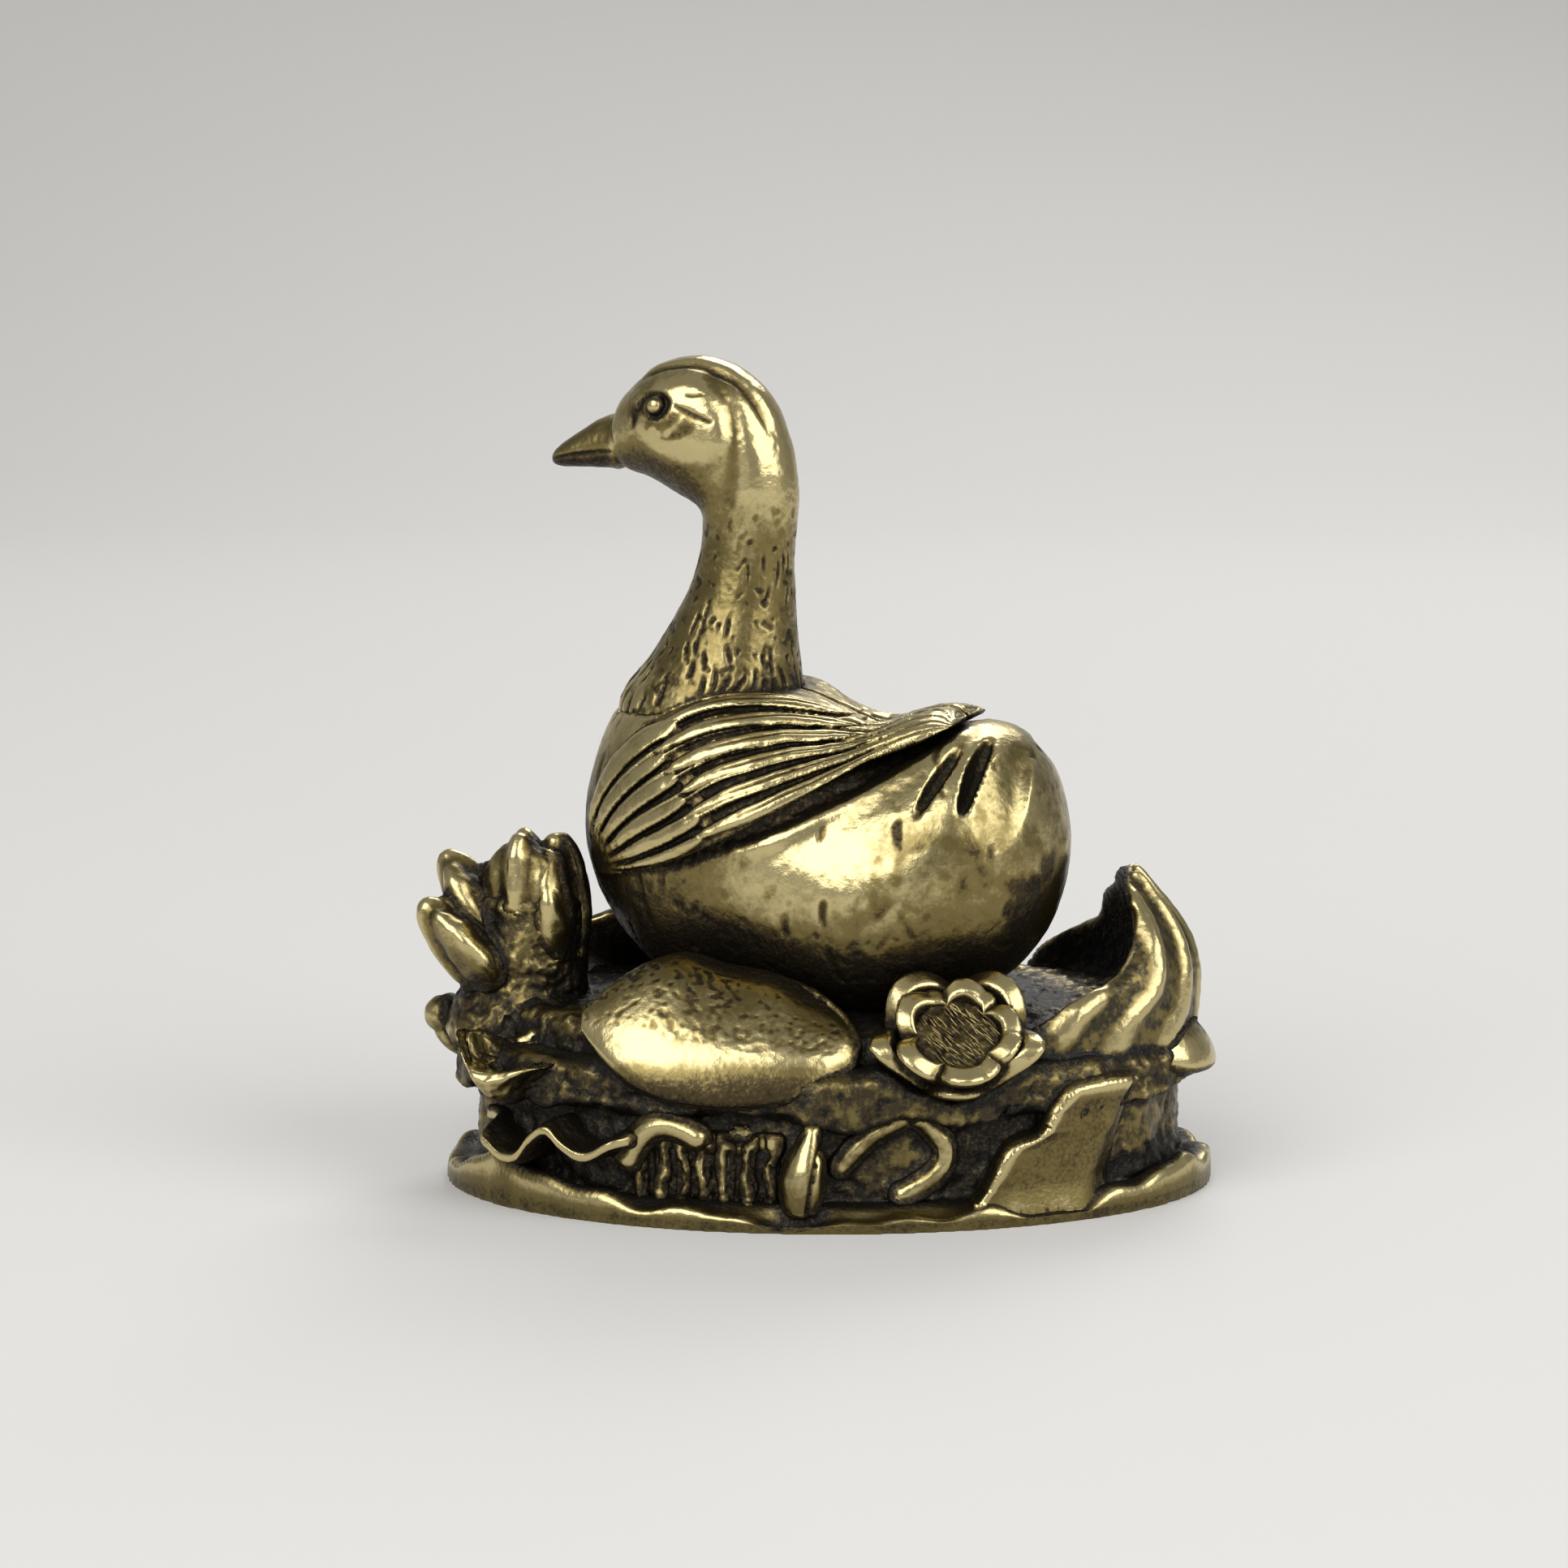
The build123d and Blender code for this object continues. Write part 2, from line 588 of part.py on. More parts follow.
def teardrop(length, diameter):
    """A bud standing on Z = 0, fullest below the middle and pointed at the top."""
    side = Spline(*[(diameter / 2 * out, length * up) for out, up in TEARDROP_SIDE])
    top = side @ 1
    outline = side + Polyline(top, (0, top.Y), (0, 0), side @ 0)
    return revolve(Plane.XZ * make_face(outline), Axis.Z)


def standing_bud_form():
    place = by_rim(WAIST_LENGTH, WAIST_DEPTH, BUD_ANGLE, BUD_OUT, FOOT_HEIGHT)
    return Pos(*place) * teardrop(BUD_LENGTH, BUD_DIAMETER)


# Flowers


def bowl_side(radius, depth):
    """The outside of a bowl from the middle of its bottom up to the rim."""
    return Spline(*[(radius * out, depth * up) for out, up in BOWL_SIDE], tangents=BOWL_TANGENTS)


def bowl_plug(radius, depth):
    """A bowl filled up to its rim."""
    side = bowl_side(radius, depth)
    outline = side + Polyline((radius, depth), (0, depth), (0, 0))
    return revolve(Plane.XZ * make_face(outline), Axis.Z)


def bowl(radius, depth, wall):
    """A bowl with a wall of even thickness."""
    return bowl_plug(radius, depth) - Pos(0, 0, wall) * bowl_plug(radius - wall, depth)


def petal_ring(radius, depth, wall, count, petal):
    """A bowl split into rounded petals that stay joined round its bottom."""
    wide, middle, high = petal
    windows = []
    for k in range(count):
        plane = Plane(origin=(0, 0, middle * depth), x_dir=(1, 0, 0), z_dir=(0, -1, 0))
        window = extrude(plane * Ellipse(wide * radius, high * depth), 2 * radius)
        windows.append(Rot(0, 0, 360 * k / count) * window)
    return bowl(radius, depth, wall) & (windows[0] + windows[1:])


def flower_place():
    """The middle of the flower's bottom, tilted towards the front."""
    place = by_rim(POND_LENGTH, POND_DEPTH, FLOWER_ANGLE, -FLOWER_INSET, DECK_HEIGHT + FLOWER_LIFT)
    return Pos(*place) * Rot(FLOWER_TILT, 0, 0)


def flower_stalk(grow):
    """The short stalk that holds the flower in the pond leaf."""
    stalk = extrude(Circle(STALK_DIAMETER / 2 + grow), STALK_LENGTH + OUTER_WALL)
    return Pos(0, 0, -STALK_LENGTH) * stalk


def flower_nest():
    """The room that the flower takes up, with its stalk."""
    bowl_room = bowl_plug(OUTER_DIAMETER / 2 + SOLDER_GAP, OUTER_DEPTH)
    return flower_place() * (bowl_room + flower_stalk(SOLDER_GAP))


def outer_petals_form():
    petals = petal_ring(OUTER_DIAMETER / 2, OUTER_DEPTH, OUTER_WALL, OUTER_PETALS, OUTER_PETAL)
    return flower_place() * (petals + flower_stalk(0))


def cup_form():
    petals = petal_ring(CUP_DIAMETER / 2, CUP_DEPTH, CUP_WALL, CUP_PETALS, CUP_PETAL)
    return flower_place() * Pos(0, 0, OUTER_WALL) * petals


def pod_form():
    """The seed head that fills the cup."""
    seat = OUTER_WALL + CUP_WALL
    pod = bowl_plug(CUP_DIAMETER / 2 - CUP_WALL, CUP_DEPTH)
    room = oval_slab(2 * CUP_DIAMETER, 2 * CUP_DIAMETER, CUP_DEPTH)
    pod = pod - Pos(0, 0, CUP_DEPTH - CUP_WALL - POD_DROP) * room
    return flower_place() * Pos(0, 0, seat) * pod


def bloom_foot():
    return by_rim(DECK_LENGTH, DECK_DEPTH, BLOOM_ANGLE, -BLOOM_INSET, DECK_HEIGHT)


def bloom_top():
    """The middle of the stem's top."""
    return bloom_foot() + Vector(BLOOM_STEM_SWAY, 0, BLOOM_STEM_HEIGHT)


def bloom_petals_form(petals):
    """Thick petals that overlap each other round the bloom's stem."""
    form = None
    for turn, out, up, lean, length, width in petals:
        petal = pillow(BLOOM_PETAL_THICKNESS, BLOOM_STEM_HEIGHT * width, BLOOM_STEM_HEIGHT * length)
        middle = bloom_foot() + (bloom_top() - bloom_foot()) * up
        aside = Pos(BLOOM_STEM_HEIGHT * out, 0, 0)
        petal = Pos(*middle) * Rot(0, 0, turn) * aside * Rot(0, lean, 0) * petal
        form = petal if form is None else form + petal
    return form


def bloom_stem_form():
    """A thick stem from the deck up into the bloom."""
    foot = Pos(*bloom_foot()) * Circle(BLOOM_STEM_DIAMETER / 2)
    top = Pos(*bloom_top()) * Circle(BLOOM_TOP_DIAMETER / 2)
    return loft([foot, top])


def knob_form():
    """A round bud on a short stalk beside the bloom."""
    deck_middle = DECK_HEIGHT - DECK_THICKNESS / 2
    knob_height = DECK_HEIGHT + KNOB_LIFT
    places = ((-KNOB_STALK, deck_middle), (KNOB_STALK / 2, deck_middle), (KNOB_STALK, knob_height))
    line = [by_rim(DECK_LENGTH, DECK_DEPTH, KNOB_ANGLE, out, height) for out, height in places]
    return rod(line, KNOB_STALK) + Pos(*line[-1]) * Sphere(KNOB_DIAMETER / 2)


def seated(piece, *carriers):
    """The piece with its seats cut to the pieces that carry it."""
    for carrier in carriers:
        piece = piece - carrier
    return max(piece.solids(), key=lambda solid: solid.volume)


def duck_pieces():
    """The duck's castings, turned to their place on the pond."""
    egg = egg_form(0, 0)
    neck = neck_and_head_form()
    wings = [seated(wing_form(egg, side), neck) for side in (-1, 1)]
    eyes = [eye_form(side) for side in (-1, 1)]
    pieces = {
        "duck_body": body_form(egg, neck),
        "duck_neck_and_head": neck - eyes,
        "duck_left_wing": wings[0],
        "duck_right_wing": wings[1],
        "duck_left_eye": eyes[0],
        "duck_right_eye": eyes[1],
    }
    return {name: DUCK_PLACE * piece for name, piece in pieces.items()}


def pond_pieces():
    """Base, pond leaf and everything that grows round them, each seated on those that carry it."""
    nest = flower_nest()
    plinth = plinth_form() - peg(SOLDER_GAP) - nest
    pond = pond_form() - peg(SOLDER_GAP) - nest
    standing = standing_leaf_form()
    ribbed = seated(ribbed_leaf_form(), plinth)
    left_stem = seated(waist_stem(LEFT_STEM_LINE), plinth)
    stem = seated(bloom_stem_form(), pond)
    heart = seated(bloom_petals_form(HEART_PETALS), stem)
    petals = seated(bloom_petals_form(LEANING_PETALS), stem, heart)
    front = folded_leaf(FRONT_LEAF_LINE, FRONT_LEAF_SPAN, FRONT_LEAF_THICKNESS)
    back = folded_leaf(BACK_LEAF_LINE, BACK_LEAF_SPAN, BACK_LEAF_THICKNESS)
    side = folded_leaf(SIDE_LEAF_LINE, SIDE_LEAF_SPAN, SIDE_LEAF_THICKNESS)
    return {
        "plinth": plinth,
        "pond_leaf": pond,
        "front_leaf": seated(front, plinth, pond, nest),
        "back_leaf": seated(back, plinth, pond, stem, heart, petals),
        "side_leaf": seated(side, plinth, standing),
        "standing_leaf": standing,
        "hanging_leaf": seated(hanging_leaf_form(), plinth),
        "rolled_leaf": seated(rolled_leaf_form(), plinth),
        "ribbed_leaf": ribbed,
        "front_ruffled_leaf": seated(ruffled_leaf_form(RUFFLE_FRONT_ANGLE), plinth, ribbed),
        "back_ruffled_leaf": seated(ruffled_leaf_form(RUFFLE_BACK_ANGLE), plinth),
        "standing_bud": standing_bud_form(),
        "left_curled_stem": left_stem,
        "right_curled_stem": seated(waist_stem(RIGHT_STEM_LINE), plinth, left_stem),
        "flower_outer_petals": outer_petals_form(),
        "flower_cup": cup_form(),
        "flower_pod": pod_form(),
        "bloom_stem": stem,
        "bloom_petals": petals,
        "bloom_heart": heart,
        "knob_bud": seated(knob_form(), plinth),
    }


if __name__ == "__main__":
    os.makedirs("parts", exist_ok=True)
    for name, piece in {**duck_pieces(), **pond_pieces()}.items():
        export_step(piece, f"parts/{name}.step")
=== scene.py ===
import math

import bmesh
import bpy
import numpy as np
from bpy.props import FloatProperty, FloatVectorProperty, IntProperty, PointerProperty
from bpy.types import Operator, Panel, PropertyGroup
from mathutils import Euler, Matrix, Vector


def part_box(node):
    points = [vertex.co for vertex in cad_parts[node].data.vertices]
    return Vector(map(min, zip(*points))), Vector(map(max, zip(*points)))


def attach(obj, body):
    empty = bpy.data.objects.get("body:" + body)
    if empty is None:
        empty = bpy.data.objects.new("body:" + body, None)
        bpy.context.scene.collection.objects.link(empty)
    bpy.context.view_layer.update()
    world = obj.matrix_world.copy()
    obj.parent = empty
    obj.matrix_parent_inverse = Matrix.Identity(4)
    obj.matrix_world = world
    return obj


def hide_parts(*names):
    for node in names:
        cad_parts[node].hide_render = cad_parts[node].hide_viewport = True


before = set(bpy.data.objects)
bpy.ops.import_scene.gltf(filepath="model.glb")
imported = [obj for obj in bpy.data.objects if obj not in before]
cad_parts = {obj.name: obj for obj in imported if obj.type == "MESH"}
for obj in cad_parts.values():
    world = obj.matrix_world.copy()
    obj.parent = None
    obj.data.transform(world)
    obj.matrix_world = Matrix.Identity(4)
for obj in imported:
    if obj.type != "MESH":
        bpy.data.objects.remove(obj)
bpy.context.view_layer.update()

bl_info = {
    "name": "Brass duck on a lotus pond",
    "version": (1, 0, 0),
    "blender": (4, 5, 0),
    "location": "3D View > Sidebar > Brass duck",
    "description": "Casts, carves and patinates a small brass duck that sits among lotus leaves",
    "category": "Object",
}

MM = 0.001
MERGE_REACH = 0.002
DUCK_TURN = math.radians(18.0)
NOISE_TURN = np.array(Euler((0.5, 0.4, 0.6)).to_matrix())

# Places on the duck, in millimetres, in its own frame: bill towards -x, left side towards -y
WING_TIP = (7.05, 22.8)
WING_SPREAD = 35.0
WING_SPREAD_LOSS = 0.55
WING_LOWER = ((-10.1, 15.0), (-5.52, 16.1), (-1.06, 18.3), (4.0, 21.2), (7.05, 22.8))
WING_UPPER = (
    (-10.1, 15.0), (-10.58, 17.6), (-6.46, 22.9), (-1.18, 23.6), (0.7, 22.9), (2.6, 22.2), (4.8, 23.0),
    (6.2, 23.3), (7.05, 22.8),
)
# Rows of feathers: where a row starts and ends along the wing, and its borders across the wing
FEATHER_ROWS = (
    (0.07, 0.40, (0.0, 0.125, 0.295, 0.465, 0.635, 0.805, 1.0)),
    (0.375, 1.75, (0.0, 0.165, 0.345, 0.525, 0.705, 0.865, 1.0)),
)
# Middle of the neck: height, and place across
NECK_LINE = ((16.0, -5.4), (23.8, -5.2), (26.0, -4.95), (28.1, -4.33), (30.6, -4.03), (34.0, -4.3))
BILL_BASE = -10.35
MOUTH_LINE = ((-14.2, 34.2), (-12.4, 34.5), (-10.4, 34.75))
CHEEK_LINE = ((-5.3, 38.3), (-4.75, 37.6), (-4.2, 36.6), (-3.95, 35.3), (-3.95, 34.0), (-4.3, 32.6))
EYE_STRIPE = ((-6.75, 37.0), (-5.9, 36.62), (-5.05, 36.25))
LORES_LINE = ((-8.75, 37.05), (-8.95, 36.6), (-9.0, 36.1))
CHEEK_DASH = ((-6.3, 37.5), (-5.5, 37.52))
# Ovals of the side view: the middle and the halves of the breadth and the height
EYE_OVAL = ((-7.9, 36.98), (0.84, 0.62))
CHEEK_OVAL = ((-6.4, 36.2), (2.3, 2.05))
SMUDGE_OVAL = ((-7.0, 36.1), (1.9, 1.0))
# The nape oval places a painted highlight.
NAPE_HIGHLIGHT_OVAL = ((-2.6, 35.0), (1.0, 1.4))
WORN_SLOT_OVAL = ((9.6, 19.2), (0.8, 1.9))

# Places on the base, in millimetres
BASE_HALF = (18.4, 12.0)
POND_HALF = (15.85, 9.45)
WAIST_HALF = (16.7, 10.3)
DECK_LEVEL = 7.2
RUFFLE_STARTS = (198.0, 18.0)
RUFFLE_SPREAD = 40.0
RUFFLE_LIP = (
    (0.0, 3.9), (7.0, 3.75), (12.3, 3.14), (16.6, 2.62), (20.0, 2.78), (23.0, 3.68), (26.5, 4.22),
    (29.0, 3.69), (33.5, 3.19), (37.5, 3.7), (42.0, 4.2),
)
RIB_ANGLES = (239.0, 261.0)
RIB_COUNT = 7
ROLL_MIDDLE = (-15.17, -6.81, 7.2)
ROLL_OUTWARD = (-0.689, -0.725)
FLOWER_FOOT = (5.7, -8.73, 7.05)
FLOWER_TILT = math.radians(42.0)
CUP_NOTCHES = (42.0, 103.0, 183.0, 250.0, 321.0)
OUTER_NOTCHES = (18.0, 90.0, 162.0, 234.0, 306.0)
BLOOM_FOOT = (-14.9, 0.0, 7.2)
BLOOM_SWAY = 0.6
BLOOM_HEIGHT = 6.2
# Petals of the half-open flower: turn, place outwards and upwards as shares of its height, and lean
HEART_PETALS = ((250.0, 0.20, 1.12, 4.0), (345.0, 0.24, 0.98, -4.0), (110.0, 0.16, 1.08, 2.0))
LEANING_PETALS = ((203.0, 0.52, 0.66, 40.0), (172.0, 0.42, 0.96, 32.0), (136.0, 0.46, 0.70, 38.0))
PETAL_HALF = (0.95, 2.0, 2.8)
BROAD_LEAF = 8.0
# Left edge of the hanging leaf: share of its height, and place across
HANGING_EDGE = ((0.0, 6.6), (0.25, 7.7), (0.5, 8.4), (0.62, 9.9), (0.8, 10.4), (1.0, 11.5))
POD_RADIUS = 1.9
POD_AXIS = (0.0, -0.669, 0.743)
STAMEN_SINK = 0.08
STAMEN_STAIN = 0.35
STAMEN_TURNS = ((-0.12, -0.1, -1.1), (0.12, 0.1, -0.7))

# Brass of each slot: how light it is, and how blue its patina is
SLOT_TONES = {
    "duck_brass": (1.0, 0.0),
    "eye_brass": (1.1, 0.0),
    "base_brass": (0.92, 0.25),
    "leaf_brass": (1.0, 0.0),
    "standing_leaf_brass": (0.9, 0.5),
    "flower_brass": (1.0, 0.0),
    "stem_brass": (0.9, 0.1),
}
# Colours of the brass: the depth of patina at which each stands, and its share of the blue
PATINA_STOPS = (("polished", 0.02, 0.0), ("olive", 0.3, 0.0), ("brown", 0.62, 0.5), ("black", 0.92, 1.0))

# What darkens the brass and what rubs it bright, with lengths in millimetres
SHADE_PITCH = 0.25
SHADE_REACH = 4.0
SHADE_START = 0.4
SHADE_VIEWS = 40
SHADE_FACING = 0.22
SHADE_SHARE = 0.85
STAIN_SHARE = 0.75
# Share of the painted shade on places that face down
UNDERSIDE_SHADE_SHARE = 0.25
CLOUD_SHARE = 0.05
RUB_SHARE = 0.34
RUB_GAIN = 6.0
RUB_LIMITS = (-0.6, 1.0)
DARKEST = 0.88
UNWELDED = ("duck", "flower")

# The studio, in metres: place, size and share of the brightness of each lamp, and the sweep of the paper
LAMPS = (
    ("key", (-0.22, -0.38, 0.34), 0.46, 1.0),
    ("fill", (0.38, -0.26, 0.28), 0.42, 0.75),
    ("rim", (0.1, 0.36, 0.36), 0.25, 0.45),
)
LAMP_TARGET = (0.0, 0.0, 0.02)
SWEEP_FRONT = -1.2
SWEEP_START = 0.35
SWEEP_RADIUS = 0.35
SWEEP_STEPS = 12
SWEEP_TOP = 1.4
SWEEP_HALF = 1.6
PAPER_ROUGHNESS = 0.85


class DuckCarving(PropertyGroup):
    """Sizes of the feathers and the marks on the duck"""

    feather_depth: FloatProperty(
        name="Feather depth", description="Depth of the grooves between feathers in millimetres",
        default=0.24)
    dash_depth: FloatProperty(
        name="Dash depth", description="Depth of the short strokes on the neck in millimetres", default=0.13)
    line_depth: FloatProperty(
        name="Line depth", description="Depth of the drawn lines on the head in millimetres", default=0.16)


class PondCarving(PropertyGroup):
    """Sizes of the waves and the grain of the pond"""

    grain_depth: FloatProperty(
        name="Grain depth", description="Depth of the sandy grain of the recesses in millimetres",
        default=0.1)
    rim_wave: FloatProperty(
        name="Rim wave", description="Rise and fall of the foot's rim in millimetres", default=0.22)
    fold_depth: FloatProperty(
        name="Fold depth", description="Depth of the folds of the standing leaf in millimetres", default=0.22)
    stamen_count: IntProperty(
        name="Stamens", description="Stamens on the pod of the open flower", default=110, min=1)
    stamen_length: FloatProperty(
        name="Stamen length", description="Length of a stamen", default=1.0 * MM, subtype="DISTANCE",
        unit="LENGTH")
    stamen_width: FloatProperty(
        name="Stamen width", description="Thickness of a stamen", default=0.12 * MM, subtype="DISTANCE",
        unit="LENGTH")


class BrassFinish(PropertyGroup):
    """Colours and sheen of the old brass"""

    polished: FloatVectorProperty(
        name="Polished", description="Brass that hands have rubbed bright", subtype="COLOR", size=3,
        default=(0.58, 0.485, 0.24))
    olive: FloatVectorProperty(
        name="Olive", description="Brass that has dulled", subtype="COLOR", size=3,
        default=(0.215, 0.168, 0.064))
    brown: FloatVectorProperty(
        name="Brown", description="Patina at the edge of a recess", subtype="COLOR", size=3,
        default=(0.072, 0.053, 0.025))
    black: FloatVectorProperty(
        name="Black", description="Patina deep in a recess", subtype="COLOR", size=3,
        default=(0.020, 0.016, 0.010))
    first_patina: FloatProperty(
        name="First patina", description="Patina of an open, unrubbed place", default=0.18, min=0.0, max=1.0)
    weld: FloatProperty(
        name="Weld", description="Height of the fillets where pieces meet in millimetres", default=0.22,
        min=0.0)
    polished_roughness: FloatProperty(
        name="Polished roughness", description="Roughness of rubbed brass", default=0.22, min=0.0, max=1.0)
    patina_roughness: FloatProperty(
        name="Patina roughness", description="Roughness of the dark patina", default=0.5, min=0.0, max=1.0)


class StudioSetting(PropertyGroup):
    """The camera, the lamps and the floor"""

    lens: FloatProperty(name="Lens", description="Focal length of the camera in millimetres", default=100.0)
    distance: FloatProperty(
        name="Distance", description="From the camera to the middle of the view", default=207.6 * MM,
        subtype="DISTANCE", unit="LENGTH")
    elevation: FloatProperty(
        name="Elevation", description="Height of the camera above the horizon", default=math.radians(8.5),
        subtype="ANGLE", unit="ROTATION")
    middle: FloatVectorProperty(
        name="Middle", description="Middle of the view", default=(-2.17 * MM, 0.0, 19.0 * MM), size=3,
        subtype="TRANSLATION", unit="LENGTH")
    floor_colour: FloatVectorProperty(
        name="Floor", description="Colour of the floor and the backdrop", subtype="COLOR", size=3,
        default=(0.72, 0.71, 0.69))
    world_level: FloatProperty(name="World level", description="Strength of the even light", default=0.34)
    key_level: FloatProperty(
        name="Key level", description="Brightness of the main lamp in watts", default=1.9)


# Noise, soft steps, lines and ovals of the carving

def lattice_noise(points, cell, seed):
    """Smooth noise from -1 to 1 whose bumps are about one cell across."""
    scaled = points @ NOISE_TURN / cell
    corner = np.floor(scaled).astype(np.int64)
    share = scaled - corner
    share = share * share * (3.0 - 2.0 * share)
    total = np.zeros(len(points))
    for step in np.ndindex(2, 2, 2):
        spot = corner + np.array(step)
        weight = np.prod(np.where(step, share, 1.0 - share), axis=1)
        total += weight * (2.0 * cell_value(spot[:, 0], spot[:, 1], spot[:, 2] + 31 * seed) - 1.0)
    return total


def cell_value(column, row, layer):
    """A fixed number from 0 to 1 for each cell of a lattice."""
    code = (column * 73856093) ^ (row * 19349663) ^ (layer * 83492791)
    code = ((code ^ (code >> 13)) * 1274126177) & 0x7FFFFFFF
    code = ((code ^ (code >> 15)) * 668265263) & 0x7FFFFFFF
    return code / float(0x7FFFFFFF)


def grain_of(points, seed):
    """The sandy skin of a recess."""
    return lattice_noise(points, 0.42, seed) + 0.7 * lattice_noise(points, 0.22, seed + 1)


def ramp(values, low, high):
    """A soft step from 0 at low to 1 at high."""
    share = np.clip((values - low) / (high - low), 0.0, 1.0)
    return share * share * (3.0 - 2.0 * share)


def fall(values, low, high):
    """A soft step from 1 at low to 0 at high."""
    return ramp(-values, -high, -low)


def bell(distance, width):
    """A soft bump, 1 at no distance."""
    return np.exp(-np.square(distance / width))


def line_distance(across, height, line):
    """How far each place of a side view is from a drawn line, and how far along the line that is."""
    spots = np.array(line)
    lengths = np.linalg.norm(np.diff(spots, axis=0), axis=1)
    starts = np.concatenate(([0.0], np.cumsum(lengths)))
    best = np.full(len(across), np.inf)
    along = np.zeros(len(across))
    places = np.stack((across, height), axis=1)
    for number, (first, last) in enumerate(zip(spots[:-1], spots[1:])):
        reach = last - first
        share = np.clip((places - first) @ reach / (reach @ reach), 0.0, 1.0)
        distance = np.linalg.norm(places - first - share[:, None] * reach, axis=1)
        nearer = distance < best
        best = np.where(nearer, distance, best)
        along = np.where(nearer, (starts[number] + share * lengths[number]) / starts[-1], along)
    return best, along


def drawn_line(across, height, line, width):
    """A tapered groove along a drawn line, 1 at its deepest."""
    distance, along = line_distance(across, height, line)
    taper = 0.45 + 0.55 * np.sin(math.pi * along)
    return bell(distance, width * taper)


def oval_reach(across, height, oval):
    """How far out each place of a side view lies in an oval, 0 at its middle and 1 on its edge."""
    middle, half = oval
    return np.hypot((across - middle[0]) / half[0], (height - middle[1]) / half[1])


def in_duck_frame(points):
    """Places turned into the duck's own frame."""
    turn, lean = math.cos(DUCK_TURN), math.sin(DUCK_TURN)
    across = points[:, 0] * turn - points[:, 1] * lean
    aside = points[:, 0] * lean + points[:, 1] * turn
    return np.stack((across, aside, points[:, 2]), axis=1)


def oval_angle(points, half):
    """The angle round an oval base in degrees from 0 to 360."""
    return np.mod(np.degrees(np.arctan2(points[:, 1] / half[1], points[:, 0] / half[0])), 360.0)


def beside_oval(points, half):
    """The angle of the nearest place on an oval, from 0 to 360 degrees, and the distance out from it."""
    turn = np.arctan2(points[:, 1] / half[1], points[:, 0] / half[0])
    for step in range(6):
        rim = np.stack((half[0] * np.cos(turn), half[1] * np.sin(turn)), axis=1)
        away = np.stack((np.cos(turn) / half[0], np.sin(turn) / half[1]), axis=1)
        away = away / np.linalg.norm(away, axis=1)[:, None]
        out = np.sum((points[:, :2] - rim) * away, axis=1)
        foot = points[:, :2] - out[:, None] * away
        turn = np.arctan2(foot[:, 1] / half[1], foot[:, 0] / half[0])
    return np.mod(np.degrees(turn), 360.0), out


def smooth_curve(spots):
    """A smooth curve through the spots: shares of its length, and its places."""
    spots = np.array(spots)
    steps = np.concatenate(([0.0], np.cumsum(np.linalg.norm(np.diff(spots, axis=0), axis=1))))
    slopes = np.gradient(spots, steps, axis=0)
    fine = np.linspace(0.0, steps[-1], 160)
    number = np.clip(np.searchsorted(steps, fine, side="right") - 1, 0, len(spots) - 2)
    gap = (steps[number + 1] - steps[number])[:, None]
    share = ((fine - steps[number]) / gap[:, 0])[:, None]
    start, end = spots[number], spots[number + 1]
    first, last = slopes[number] * gap, slopes[number + 1] * gap
    places = start + first * share + (3.0 * (end - start) - 2.0 * first - last) * share ** 2
    places = places + (2.0 * (start - end) + first + last) * share ** 3
    return fine / steps[-1], places


def feather_place(local):
    """Shares of the wing's length from its front end and of its breadth from its lower edge."""
    lower = smooth_curve(WING_LOWER)[1]
    shares, upper = smooth_curve(WING_UPPER)
    spots = local[:, (0, 2)]
    low = np.zeros(len(spots))
    high = np.ones(len(spots))
    for turn in range(22):
        along = 0.5 * (low + high)
        foot = np.stack([np.interp(along, shares, lower[:, axis]) for axis in (0, 1)], axis=1)
        head = np.stack([np.interp(along, shares, upper[:, axis]) for axis in (0, 1)], axis=1)
        reach = head - foot
        gap = spots - foot
        ahead = reach[:, 0] * gap[:, 1] - reach[:, 1] * gap[:, 0] < 0.0
        low = np.where(ahead, along, low)
        high = np.where(ahead, high, along)
    across = np.sum(gap * reach, axis=1) / np.maximum(np.sum(reach * reach, axis=1), 1e-6)
    return along, across


def wing_place(local):
    """Reach from the wing tip, and depth below the wing's lower edge."""
    back = WING_TIP[0] - local[:, 0]
    down = WING_TIP[1] - local[:, 2]
    reach = np.hypot(back, down)
    angle = np.degrees(np.arctan2(down, back))
    lower = WING_SPREAD - WING_SPREAD_LOSS * reach
    below = np.radians(angle - lower) * reach
    return reach, below


# Wax

def merged_copy(node):
    """A CAD node's triangles joined into one closed skin, in millimetres."""
    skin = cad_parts[node].data.copy()
    skin.transform(Matrix.Scale(1.0 / MM, 4))
    sheet = bmesh.new()
    sheet.from_mesh(skin)
    bmesh.ops.remove_doubles(sheet, verts=sheet.verts, dist=MERGE_REACH)
    sheet.to_mesh(skin)
    sheet.free()
    return skin


def even_skin(skin, grain):
    """The same form in small, even faces."""
    holder = bpy.data.objects.new("wax", skin)
    bpy.context.scene.collection.objects.link(holder)
    remesh = holder.modifiers.new("Even faces", "REMESH")
    remesh.mode = "VOXEL"
    remesh.voxel_size = grain
    wax = bpy.data.meshes.new_from_object(holder.evaluated_get(bpy.context.evaluated_depsgraph_get()))
    bpy.data.objects.remove(holder)
    bpy.data.meshes.remove(skin)
    return wax


def points_of(mesh):
    """The mesh's places as rows."""
    flat = np.empty(len(mesh.vertices) * 3)
    mesh.vertices.foreach_get("co", flat)
    return flat.reshape(-1, 3)


def edges_of(mesh):
    """The mesh's edges as pairs of vertex numbers."""
    flat = np.empty(len(mesh.edges) * 2, dtype=np.int32)
    mesh.edges.foreach_get("vertices", flat)
    return flat.reshape(-1, 2)


